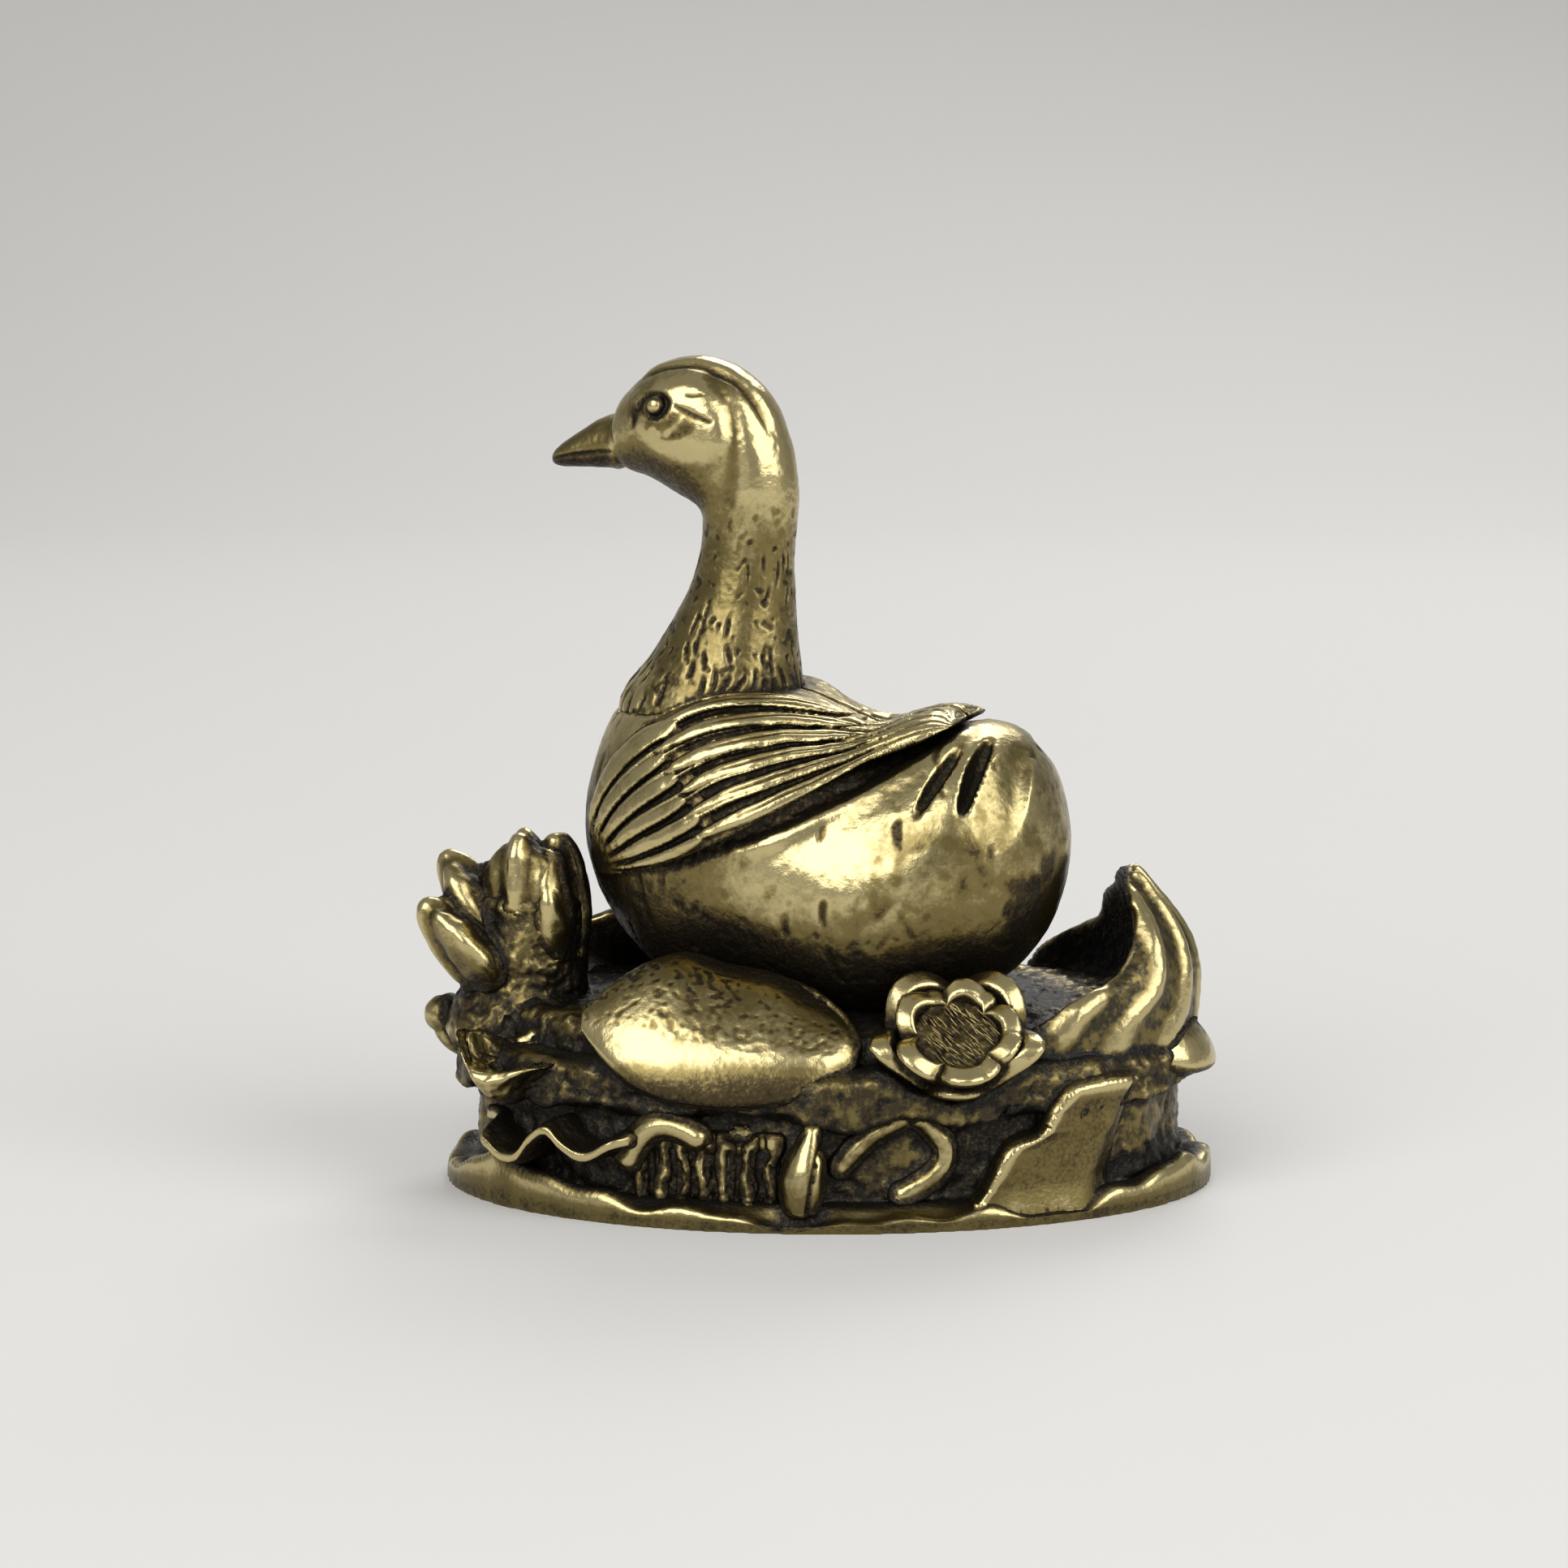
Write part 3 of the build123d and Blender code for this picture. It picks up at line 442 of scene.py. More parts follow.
def normals_of(mesh):
    """The outward direction at each vertex."""
    flat = np.empty(len(mesh.vertices) * 3, dtype=np.float32)
    mesh.vertex_normals.foreach_get("vector", flat)
    return flat.reshape(-1, 3).astype(float)


def put_points(mesh, points):
    """Moves the mesh's vertices to the given places."""
    mesh.vertices.foreach_set("co", points.astype(np.float32).ravel())
    mesh.update()


def neighbour_mean(values, edges):
    """The mean of each vertex's neighbours, column by column."""
    size = len(values)
    count = np.maximum(np.bincount(edges.ravel(), minlength=size), 1)
    columns = []
    for column in values.T:
        total = np.bincount(edges[:, 0], column[edges[:, 1]], size)
        total += np.bincount(edges[:, 1], column[edges[:, 0]], size)
        columns.append(total / count)
    return np.stack(columns, axis=1)


def blended(values, edges, rounds, share):
    """Values mixed a few times with those of their neighbours."""
    for turn in range(rounds):
        values = (1.0 - share) * values + share * neighbour_mean(values, edges)
    return values


def softened(points, edges, rounds):
    """Edges rounded as in a casting, with the size kept."""
    for turn in range(rounds):
        points = points + 0.5 * (neighbour_mean(points, edges) - points)
        points = points - 0.51 * (neighbour_mean(points, edges) - points)
    return points


def cast(node, slot, relief, grain, rounds, melt=0, where=None):
    """One CAD node as a softened, carved casting that takes its place.

    Rounds of melting wear its edges round, everywhere or by the share that where gives each place.
    """
    wax = even_skin(merged_copy(node), grain)
    edges = edges_of(wax)
    points = softened(points_of(wax), edges, rounds)
    share = 1.0 if where is None else where(points)[:, None]
    for turn in range(melt):
        points = points + 0.5 * share * (neighbour_mean(points, edges) - points)
    put_points(wax, points)
    moves, stain = relief(points, normals_of(wax))
    put_points(wax, (points + moves) * MM)
    # The stain mark also carries the painted highlights and painted shade of some carvings.
    mark = wax.attributes.new("stain", "FLOAT", "POINT")
    mark.data.foreach_set("value", stain.astype(np.float32))
    wax.shade_smooth()
    return fitted(wax, node, slot)


def fitted(mesh, node, slot):
    """A finished mesh as the piece that takes a CAD node's place."""
    mesh.name = node + "_casting"
    mesh.materials.clear()
    mesh.materials.append(brass(slot))
    piece = bpy.data.objects.new(node + "_casting", mesh)
    bpy.context.scene.collection.objects.link(piece)
    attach(piece, "root")
    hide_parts(node)
    return piece


# Carving

def wing_end(points):
    """How much of each place belongs to the rounded end of a wing."""
    return ramp(feather_place(in_duck_frame(points))[0], 0.78, 0.94)


def wing_relief(side):
    """The carver for the wing on that side, -1 for the left and 1 for the right."""
    def carve(points, normals):
        sizes = bpy.context.scene.duck_carving
        local = in_duck_frame(points)
        outward = in_duck_frame(normals)[:, 1] * side
        along, across = feather_place(local)
        across = across + 0.014 * lattice_noise(points, 1.6, 2)
        crown = np.full(len(points), -1.0)
        vane = np.zeros(len(points))
        for row, (first, last, borders) in enumerate(FEATHER_ROWS):
            for number, (low, high) in enumerate(zip(borders[:-1], borders[1:])):
                shift = 0.06 * (cell_value(number, row, 5) - 0.5)
                end = 2.0 * (along - first - shift) / (last - first) - 1.0
                width = np.power(np.clip(1.0 - end * end, 1e-3, 1.0), 0.3)
                aside = (2.0 * across - low - high) / (high - low)
                here = 1.0 - np.square(aside / width)
                vane = np.where(here > crown, aside, vane)
                crown = np.maximum(crown, here)
        crown = np.clip(crown, -0.35, 1.0)
        front = fall(along, 0.06, 0.14)
        crown = crown + front * (0.35 + 0.3 * lattice_noise(points, 0.7, 7) - crown)
        quill = ramp(along, 0.42, 0.6)
        shaft = bell(vane - 0.15, 0.14) * quill
        tip = ramp(along, 0.66, 0.88) * fall(along, 0.9, 1.0)
        sand = grain_of(points, 8)
        dome = np.sqrt(np.clip(1.0 - np.square(2.0 * across - 1.0), 0.0, 1.0))
        fade = fall(along, 0.72, 1.0) * ramp(outward, 0.02, 0.35)
        height = sizes.feather_depth * (np.sqrt(np.maximum(crown, 0.0)) - 0.55) * (0.35 + 0.65 * fade)
        height = height + tip * (0.5 * dome - 0.1) - 0.08 * shaft * fade
        height = height + 0.025 * lattice_noise(points, 0.4, 3)
        stain = (0.52 - 0.4 * sand) * fall(crown, -0.12, 0.2) * (0.4 + 0.6 * fade)
        stain = stain + 0.3 * front + 0.5 * shaft * fade
        top = fall(outward, 0.1, 0.55) * fall(along, 0.6, 0.75)
        streak = ramp(np.sin(55.0 * across + 3.0 * lattice_noise(points, 1.2, 6)), -0.4, 0.6)
        moves = normals * height[:, None]
        moves[:, 2] -= 0.3 * ramp(along, 0.75, 1.0)
        return moves, stain + 0.25 * top * streak - 0.1
    return carve


def worn_slot(points):
    """How much of each place belongs to the tail slots that are worn nearly flat."""
    local = in_duck_frame(points)
    return fall(oval_reach(local[:, 0], local[:, 2], WORN_SLOT_OVAL), 0.9, 1.25)


def body_relief(points, normals):
    """Grooves under the wings, fine strokes on the breast, a few dashes and pits, the neck's root, and a
    painted highlight on the flank.
    """
    local = in_duck_frame(points)
    facing = in_duck_frame(normals)
    flank = np.abs(facing[:, 1])
    reach, below = wing_place(local)
    aside = ramp(flank, 0.1, 0.4) * fall(reach, 12.5, 15.5)
    gap = bell(below - 0.2, 0.34) * aside
    ridge = bell(below - 1.0, 0.42) * aside * fall(reach, 9.0, 12.0)
    sweep = np.arctan2(local[:, 1], local[:, 0] + 3.0)
    strokes = np.sin(sweep * 40.0 + 2.0 * lattice_noise(points, 2.5, 11))
    broken = ramp(lattice_noise(points * np.array((1.0, 1.0, 0.45)), 0.7, 12), -0.2, 0.5)
    breast = fall(local[:, 0], -4.5, -0.5) * ramp(local[:, 2], 9.5, 12.0)
    rows = np.sin(local[:, 0] * 3.4 + 0.5 * local[:, 2] + 2.5 * lattice_noise(points, 3.0, 13))
    sparse = ramp(lattice_noise(points * np.array((1.0, 1.0, 0.5)), 0.9, 18), 0.3, 0.6)
    dashes = np.power(ramp(rows, 0.4, 1.0), 2.0) * ramp(local[:, 0], -3.0, 1.0) * sparse
    low = fall(local[:, 2] + 0.12 * local[:, 0], 10.0, 15.4)
    pits = ramp(lattice_noise(points, 0.42, 16), 0.36, 0.66) * (0.2 + 0.8 * low)
    root = fall(local[:, 0], -8.4, -6.4) * ramp(local[:, 2], 18.6, 22.2)
    seam = fall(local[:, 0], -7.5, -5.0) * ramp(local[:, 2], 21.0, 22.5)
    sand = grain_of(points, 93)
    height = (0.15 * sand - 0.28) * gap + 0.2 * ridge + 0.22 * root + 0.12 * seam
    height = height - 0.06 * ramp(strokes, 0.2, 0.9) * breast * broken
    height = height - 0.07 * dashes - 0.06 * pits
    height = height + 0.03 * lattice_noise(points, 1.4, 14) + 0.014 * lattice_noise(points, 0.3, 15)
    # Painted highlight: the middle of the flank, facing sideways, is lightened.
    sheen = bell(local[:, 0] - 2.2, 4.2) * bell(local[:, 2] - 16.6, 3.0) * ramp(flank, 0.2, 0.7)
    mottle = ramp(lattice_noise(points, 1.5, 17) + 0.6 * lattice_noise(points, 0.6, 19), -0.1, 0.7)
    tail = ramp(local[:, 0], 1.8, 6.0) * fall(local[:, 2], 15.5, 19.5)
    stain = (0.3 - 0.8 * sand) * gap + 0.6 * dashes + 0.45 * pits - 0.3 * sheen
    stain = stain + (0.3 + 0.25 * broken * ramp(strokes, -0.2, 0.8)) * breast * fall(below, 0.5, 4.5)
    stain = stain + low * (0.35 + 0.4 * mottle) + tail * (0.1 + 0.6 * mottle)
    stain = stain - 0.5 * root + 0.6 * seam * broken * ramp(strokes, 0.0, 0.8)
    return normals * height[:, None], np.clip(stain, -0.35, 1.2)


def neck_relief(points, normals):
    """Strokes down the neck, the eye and cheek lines, the crest and the mouth, with painted highlights on the
    cheek and nape and painted shade under the head.
    """
    sizes = bpy.context.scene.duck_carving
    local = in_duck_frame(points)
    facing = in_duck_frame(normals)
    across, aside, level = local.T
    middle = np.interp(level, *zip(*NECK_LINE))
    around = np.arctan2(aside, across - middle)
    column = around / 0.17 + 0.7 * lattice_noise(points, 1.5, 21)
    column_number = np.floor(column).astype(np.int64)
    offset = cell_value(column_number, column_number * 7, 2)
    row = level / 1.35 + offset * 4.0 + 0.4 * lattice_noise(points, 2.0, 27)
    row_number = np.floor(row).astype(np.int64)
    chance = cell_value(column_number, row_number, 9)
    density = 0.2 + 0.6 * fall(level, 23.5, 27.5)
    cut = np.where(chance < density, 1.0, 0.0)
    dash = cut * bell(column - column_number - 0.5, 0.17) * bell(row - row_number - 0.5, 0.3)
    dash = dash * fall(level, 29.0, 31.0)
    side = ramp(np.abs(facing[:, 1]), 0.25, 0.55)
    lines = np.maximum.reduce([
        drawn_line(across, level, EYE_STRIPE, 0.15),
        drawn_line(across, level, LORES_LINE, 0.3),
        0.8 * drawn_line(across, level, CHEEK_DASH, 0.1),
    ]) * side
    eye = oval_reach(across, level, EYE_OVAL)
    lid = bell(eye - 0.96, 0.17) * (0.45 + 0.55 * ramp(level, 36.75, 37.15)) * side
    socket = ramp(eye, 0.3, 0.5) * fall(eye, 0.8, 1.0) * side
    # The cheek pad is raised a little, and lightened as a painted highlight.
    cheek_pad_and_highlight = fall(oval_reach(across, level, CHEEK_OVAL), 0.78, 1.18) * side
    cheek_gap = bell(line_distance(across, level, CHEEK_LINE)[0], 0.42) * side
    crown = ramp(level, 35.4, 36.8) * ramp(facing[:, 2] + facing[:, 0], 0.1, 0.5)
    crest_gap = bell(np.abs(aside) - 1.25, 0.2) * crown
    crest = fall(np.abs(aside), 0.7, 1.1) * crown
    bill = fall(across, BILL_BASE - 0.25, BILL_BASE)
    mouth = drawn_line(across, level, MOUTH_LINE, 0.11) * bill * side
    collar = bell(across - BILL_BASE - 0.1 * (level - 35.5), 0.3)
    root = fall(level, 22.6, 28.0) * fall(facing[:, 0], -0.6, -0.1)
    height = -sizes.dash_depth * dash - sizes.line_depth * (0.55 * lines + 0.7 * lid + 0.6 * socket)
    height = height - 0.17 * cheek_gap - 0.12 * crest_gap + 0.1 * crest
    height = height - 0.1 * mouth + 0.1 * collar + 0.09 * cheek_pad_and_highlight + 0.14 * root
    height = height + 0.025 * lattice_noise(points, 0.9, 22) + 0.012 * lattice_noise(points, 0.25, 23)
    pits = ramp(lattice_noise(points, 0.38, 26), 0.4, 0.7) * fall(level, 30.5, 33.0)
    height = height - 0.04 * pits
    # Painted shade: the underside of the head, facing down, is darkened.
    painted_throat_shade = fall(facing[:, 2], -0.7, -0.1) * ramp(level, 29.5, 31.0)
    smudge = ramp(lattice_noise(points, 0.42, 24), -0.5, 0.2) * side
    smudge = smudge * fall(oval_reach(across, level, SMUDGE_OVAL), 0.5, 0.85)
    mottle = ramp(lattice_noise(points, 0.6, 25) + 0.5 * lattice_noise(points, 0.25, 28), 0.1, 0.8)
    stain = 0.9 * dash + 0.95 * lines + 0.95 * lid + 0.4 * socket + 0.3 * cheek_gap + 0.5 * crest_gap
    stain = stain + 0.4 * mouth + 0.4 * painted_throat_shade + 0.85 * smudge + 0.24 * bill + 0.4 * pits - 0.3 * collar
    stain = stain + (0.14 + 0.22 * mottle) * fall(level, 29.6, 34.6)
    stain = stain + 0.3 * mottle * fall(level, 23.5, 26.0) - 0.4 * ramp(root, 0.5, 0.9)
    # Painted highlight on the nape.
    painted_nape_highlight = bell(oval_reach(across, level, NAPE_HIGHLIGHT_OVAL), 1.9)
    stain = stain - 0.4 * cheek_pad_and_highlight - 0.4 * painted_nape_highlight - 0.35 * crest
    return normals * height[:, None], np.clip(stain, -0.35, 1.2)


def eye_relief(points, normals):
    """A bright bead with a dark rim."""
    outward = np.abs(in_duck_frame(normals)[:, 1])
    return np.zeros_like(points), 0.9 * fall(outward, 0.6, 0.86) - 0.2


def plinth_relief(points, normals):
    """The sandy walls, the lumpy bank of the deck and the wavy rim of the foot, with painted shade at the
    bottom of the foot's outer wall.
    """
    sizes = bpy.context.scene.pond_carving
    turn = np.radians(oval_angle(points, BASE_HALF))
    level = points[:, 2]
    outer = np.hypot(points[:, 0] / BASE_HALF[0], points[:, 1] / BASE_HALF[1])
    rim = ramp(outer, 0.925, 0.975) * ramp(level, 0.35, 0.95) * fall(level, 1.4, 2.0)
    left = bell(turn - 3.75, 0.32)
    right = bell(turn - 5.95, 0.3)
    back = 0.5 * bell(turn - 1.9, 0.5) + 0.7 * bell(turn - 0.5, 0.3)
    wave = np.sin(9.0 * turn + 0.6) + 0.7 * np.sin(17.0 * turn + 2.0) + 0.5 * np.sin(31.0 * turn)
    front = bell(turn - 4.75, 0.7)
    lift = rim * (1.3 * left + 0.9 * right + 0.8 * back - 0.42 * front + sizes.rim_wave * wave)
    wall = ramp(level, 1.0, 1.6) * fall(level, DECK_LEVEL - 0.6, DECK_LEVEL + 0.4)
    bank = ramp(level, 4.9, 5.6) * ramp(outer, 0.88, 0.94)
    folds = np.sin(13.0 * turn + 1.3 * np.sin(3.0 * turn)) * np.sin(5.0 * turn + 1.0)
    grain = grain_of(points, 31)
    lumps = lattice_noise(points, 2.3, 38) + 0.5 * lattice_noise(points, 1.0, 39)
    height = sizes.grain_depth * grain * wall + 0.22 * folds * wall * (1.0 - bank) + 0.2 * lumps * bank
    underside = fall(normals[:, 2], -0.9, -0.7)
    height = height * (1.0 - underside * fall(level, 0.1, 0.4))
    moves = normals * height[:, None]
    ledge = ramp(level, 4.4, 5.0) * fall(level, 5.5, 6.3) * ramp(outer, 0.86, 0.92)
    waves = lattice_noise(points, 2.4, 71) + 0.4 * lattice_noise(points, 0.9, 72)
    moves[:, 2] += lift + 0.5 * ledge * waves
    stain = wall * (0.3 + 0.2 * lattice_noise(points, 1.6, 40) - 0.12 * grain)
    # Painted shade: the bottom of the foot's outer wall, next to the floor, is darkened.
    stain = stain + bank * (0.3 - 0.06 * grain) + 0.5 * fall(level, 0.35, 0.9) * ramp(outer, 0.9, 0.95)
    return moves, stain


def pond_relief(points, normals):
    """The sandy, veined face of the pond leaf."""
    sizes = bpy.context.scene.pond_carving
    around = np.arctan2(points[:, 1], points[:, 0])
    outer = np.hypot(points[:, 0] / POND_HALF[0], points[:, 1] / POND_HALF[1])
    veins = np.power(np.abs(np.cos(9.0 * around + 0.5 * lattice_noise(points, 3.0, 33))), 8.0)
    grain = grain_of(points, 34)
    lumps = lattice_noise(points, 2.1, 36) + 0.5 * lattice_noise(points, 1.0, 37)
    top = ramp(normals[:, 2], 0.3, 0.7)
    height = sizes.grain_depth * grain + 0.15 * veins * top * ramp(outer, 0.3, 0.6)
    height = height + 0.25 * lumps * ramp(outer, 0.6, 0.9)
    stain = 0.42 - 0.16 * grain - 0.15 * veins
    return normals * height[:, None], stain


def smooth_leaf_relief(points, normals):
    """A leaf rubbed smooth in front, with a painted highlight there, pitted and dull on top, and with painted
    shade underneath. A broad one is humped, and darker towards its foot.
    """
    place = points[:, 0]
    top = ramp(normals[:, 2], 0.45, 0.8)
    # Painted shade: places that face down are darkened.
    low = fall(normals[:, 2], -0.4, 0.12)
    height = 0.03 * lattice_noise(points, 1.9, 41) + 0.01 * lattice_noise(points, 0.3, 42)
    pits = ramp(lattice_noise(points, 0.25, 43) + 0.5 * lattice_noise(points, 0.9, 44), 0.1, 0.7)
    pits = pits * (0.06 + 0.94 * top)
    height = height - 0.035 * pits
    moves = normals * height[:, None]
    if np.ptp(place) > BROAD_LEAF:
        low = np.maximum(low, fall(points[:, 2], 6.6, 8.3))
        hump = 0.35 * bell(place + 7.4, 1.8) - 0.25 * bell(place + 4.3, 1.4) - 0.4 * bell(place + 0.7, 1.5)
        moves[:, 2] += top * hump
    # The front face is lightened as a painted highlight; a broad leaf is also darker towards its foot.
    return moves, 0.6 * pits + 0.16 * top + 0.6 * low - 0.24 * (1.0 - top) * (1.0 - low)


def hanging_leaf_relief(points, normals):
    """A smooth, hollow blade with a bright raised edge, whose right side sinks into the wall."""
    share = np.clip((points[:, 2] - 1.0) / 5.2, 0.0, 1.0)
    fold = points[:, 0] - (12.9 + 1.6 * share)
    left = points[:, 0] - np.interp(share, *zip(*HANGING_EDGE))
    lip = np.maximum(bell(left, 0.4), bell(share - 1.0, 0.1))
    breadth = left / np.maximum(left - fold, 1.0)
    hollow = np.sin(math.pi * np.clip(breadth, 0.0, 1.0)) * fall(share, 0.7, 0.98)
    height = 0.16 * lip - 0.2 * hollow + 0.02 * lattice_noise(points, 1.6, 45)
    foot = fall(points[:, 2], 1.0, 2.0) * ramp(left, 0.3, 1.4)
    moves = normals * height[:, None]
    push = 0.3 * foot - 0.9 * ramp(breadth, 0.75, 1.1)
    moves[:, :2] += push[:, None] * points[:, :2] / np.linalg.norm(points[:, :2], axis=1)[:, None]
    moves[:, 2] -= 0.7 * foot
    stain = 0.26 + 0.12 * breadth + 0.08 * lattice_noise(points, 1.2, 46) - 0.5 * lip
    return moves, stain - 0.3 * foot


def rolled_leaf_relief(points, normals):
    """The scoop drawn into a pocket with three corners and a thin lip."""
    gap = points - np.array(ROLL_MIDDLE)
    outward = np.array((*ROLL_OUTWARD, 0.0))
    aside = np.array((-ROLL_OUTWARD[1], ROLL_OUTWARD[0], 0.0))
    along = gap @ aside
    up = gap[:, 2]
    low = fall(up, -0.35, 0.55)
    climb = fall(along, -2.2, -0.5) * low
    narrow = 0.45 * along * fall(up, -1.6, 0.2)
    moves = -(2.7 * (1.0 - low))[:, None] * outward - narrow[:, None] * aside
    moves[:, 2] += 1.5 * climb - 1.0 * (1.0 - low) - 0.3 * bell(along - 0.2, 1.2) * low
    rough = 0.08 * lattice_noise(points, 0.9, 47) + 0.04 * lattice_noise(points, 0.35, 48)
    inside = fall(gap @ outward, -0.6, 0.6)
    return moves + normals * rough[:, None], 0.7 * inside + 0.1 * lattice_noise(points, 0.5, 49) - 0.35


def ruffled_leaf_relief(points, normals):
    """A lip with two broad waves, worn bright along its edge."""
    turn, out = beside_oval(points, WAIST_HALF)
    start = RUFFLE_STARTS[0] if points[:, 1].mean() < 0.0 else RUFFLE_STARTS[1]
    turn = np.mod(turn - start + 90.0, 360.0) - 90.0
    share = turn / RUFFLE_SPREAD
    blank = 3.8 + 0.7 * share + 0.45 * np.sin(6.0 * math.pi * share)
    spots = smooth_curve(RUFFLE_LIP)[1]
    lip_level = np.interp(turn, spots[:, 0], spots[:, 1])
    ends = 1.0 - ramp(turn, 5.0, 12.0) * fall(turn, 38.0, 42.0)
    moves = normals * (0.04 * lattice_noise(points, 0.8, 55))[:, None]
    moves[:, 2] += lip_level + 0.5 * (points[:, 2] - blank) - points[:, 2]
    moves[:, :2] -= 0.1 * ends[:, None] * points[:, :2]
    lip = ramp(out, 1.5, 2.1)
    return moves, 0.55 * (1.0 - lip) - 0.3 * lip


def ribbed_leaf_relief(points, normals):
    """Thin ribs like the pleats of a skirt on a dark, sandy ground."""
    turn, out = beside_oval(points, WAIST_HALF)
    pitch = (RIB_ANGLES[1] - RIB_ANGLES[0]) / (RIB_COUNT - 1)
    place = (turn - RIB_ANGLES[0]) / pitch + 0.4 * lattice_noise(points, 1.3, 56)
    crest = bell(place - np.round(place), 0.17) * ramp(lattice_noise(points, 0.7, 59), -0.7, 0.1)
    roll = np.maximum(ramp(points[:, 2], 3.2, 3.8), ramp(out, 0.6, 0.8) * ramp(points[:, 2], 2.2, 2.6))
    sand = grain_of(points, 57)
    height = -0.28 * (1.0 - crest) * (1.0 - roll) + 0.06 * sand * (1.0 - roll)
    stain = (0.7 * (1.0 - crest) - 0.3 * sand) * (1.0 - roll) - 0.15 * roll
    return normals * height[:, None], stain


def folded_leaf_relief(points, normals):
    """Upright folds and a rippled skin, dark and sandy inside."""
    sizes = bpy.context.scene.pond_carving
    turn = np.arctan2(points[:, 1] / POND_HALF[1], points[:, 0] / POND_HALF[0])
    rise = np.clip((points[:, 2] - DECK_LEVEL) / 8.0, 0.0, 1.0)
    outside = ramp(normals[:, 0] * np.cos(turn) + normals[:, 1] * np.sin(turn), -0.1, 0.4)
    fan = (turn + 0.12) / (1.0 - 0.7 * rise) + 0.05 * lattice_noise(points, 2.0, 51)
    ridge = np.power(0.5 + 0.5 * np.cos(fan * 20.0), 1.6)
    sand = grain_of(points, 54)
    height = sizes.fold_depth * (1.5 * ridge - 0.6) * outside + 0.02 * lattice_noise(points, 0.3, 53)
    height = height + 0.03 * sand * (1.0 - outside) * fall(rise, 0.2, 0.5)
    valley = fall(ridge, 0.05, 0.5) * outside
    stain = valley * (0.4 - 0.25 * sand) + (0.4 + 0.15 * sand) * (1.0 - outside)
    return normals * height[:, None], stain - 0.15 * ridge * outside


def petal_rim_relief(notches, depth, cut, tuck):
    """The carver for a bowl of petals: rounded lobes with a notch between each two."""
    def carve(points, normals):
        axis = np.array((0.0, -math.sin(FLOWER_TILT), math.cos(FLOWER_TILT)))
        upright = np.array((0.0, math.cos(FLOWER_TILT), math.sin(FLOWER_TILT)))
        gap = points - np.array(FLOWER_FOOT)
        height = gap @ axis
        flat = gap - height[:, None] * axis
        turn = np.mod(np.degrees(np.arctan2(flat @ upright, flat[:, 0])) - notches[0], 360.0)
        borders = np.mod(np.array(notches) - notches[0], 360.0)
        borders = np.concatenate((borders, [360.0]))
        number = np.clip(np.searchsorted(borders, turn, side="right") - 1, 0, len(notches) - 1)
        share = (turn - borders[number]) / (borders[number + 1] - borders[number])
        lobe = np.power(np.sin(math.pi * np.clip(share, 0.0, 1.0)), 0.6)
        edge = ramp(height, 0.45 * depth, depth)
        outward = flat / np.maximum(np.linalg.norm(flat, axis=1), 1e-6)[:, None]
        moves = outward * (cut * (lobe - 0.72) * edge)[:, None]
        moves = moves + axis * (0.7 * cut * (lobe - 0.8) * edge)[:, None]
        low = tuck * fall(flat @ upright, -2.6, -0.6)
        moves = moves - outward * low[:, None] - axis * (0.7 * low)[:, None]
        rough = 0.12 * edge + 0.04 * lattice_noise(points, 0.8, 61)
        stain = 0.3 * low + 0.45 * (1.0 - edge) + 0.5 * bell(lobe, 0.3) * edge
        stain = stain - 0.3 * edge * ramp(lobe, 0.3, 0.8)
        return moves + normals * rough[:, None], stain
    return carve


def bloom_petal_relief(petals):
    """The carver for thick petals, each with a ridge down its middle."""
    def carve(points, normals):
        nearest = np.full(len(points), np.inf)
        breadth = np.zeros(len(points))
        length = np.zeros(len(points))
        for turn, out, rise, lean in petals:
            place = Vector(BLOOM_FOOT) + Vector((BLOOM_SWAY, 0.0, BLOOM_HEIGHT)) * rise
            spin = Matrix.Rotation(math.radians(turn), 4, "Z")
            spin = spin @ Matrix.Translation((BLOOM_HEIGHT * out, 0.0, 0.0))
            frame_of = Matrix.Translation(place) @ spin @ Matrix.Rotation(math.radians(lean), 4, "Y")
            back = np.array(frame_of.inverted())
            inside = points @ back[:3, :3].T + back[:3, 3]
            distance = np.sum(np.square(inside / np.array(PETAL_HALF)), axis=1)
            nearer = distance < nearest
            nearest = np.where(nearer, distance, nearest)
            breadth = np.where(nearer, inside[:, 1], breadth)
            length = np.where(nearer, inside[:, 2], length)
        ridge = bell(breadth, 0.34)
        channel = bell(np.abs(breadth) - 0.75, 0.3)
        veins = np.sin(7.0 * np.abs(breadth) - 2.2 * length)
        height = 0.12 + 0.2 * ridge - 0.14 * channel + 0.02 * veins + 0.07 * lattice_noise(points, 0.7, 63)
        return normals * height[:, None], 0.4 * channel - 0.2 * ridge + 0.15 * lattice_noise(points, 0.8, 64)
    return carve


def pod_relief(points, normals):
    """A brown, sandy pod."""
    grain = grain_of(points, 69)
    return normals * (0.05 * grain)[:, None], 0.6 - 0.25 * grain


def trunk_relief(points, normals):
    """A knotty, sandy stem that spreads at its foot."""
    grain = grain_of(points, 65)
    height = 0.3 + 0.14 * lattice_noise(points, 1.3, 67) + 0.07 * grain
    height = height + 0.5 * fall(points[:, 2], 7.0, 9.6)
    return normals * height[:, None], 0.38 - 0.2 * grain


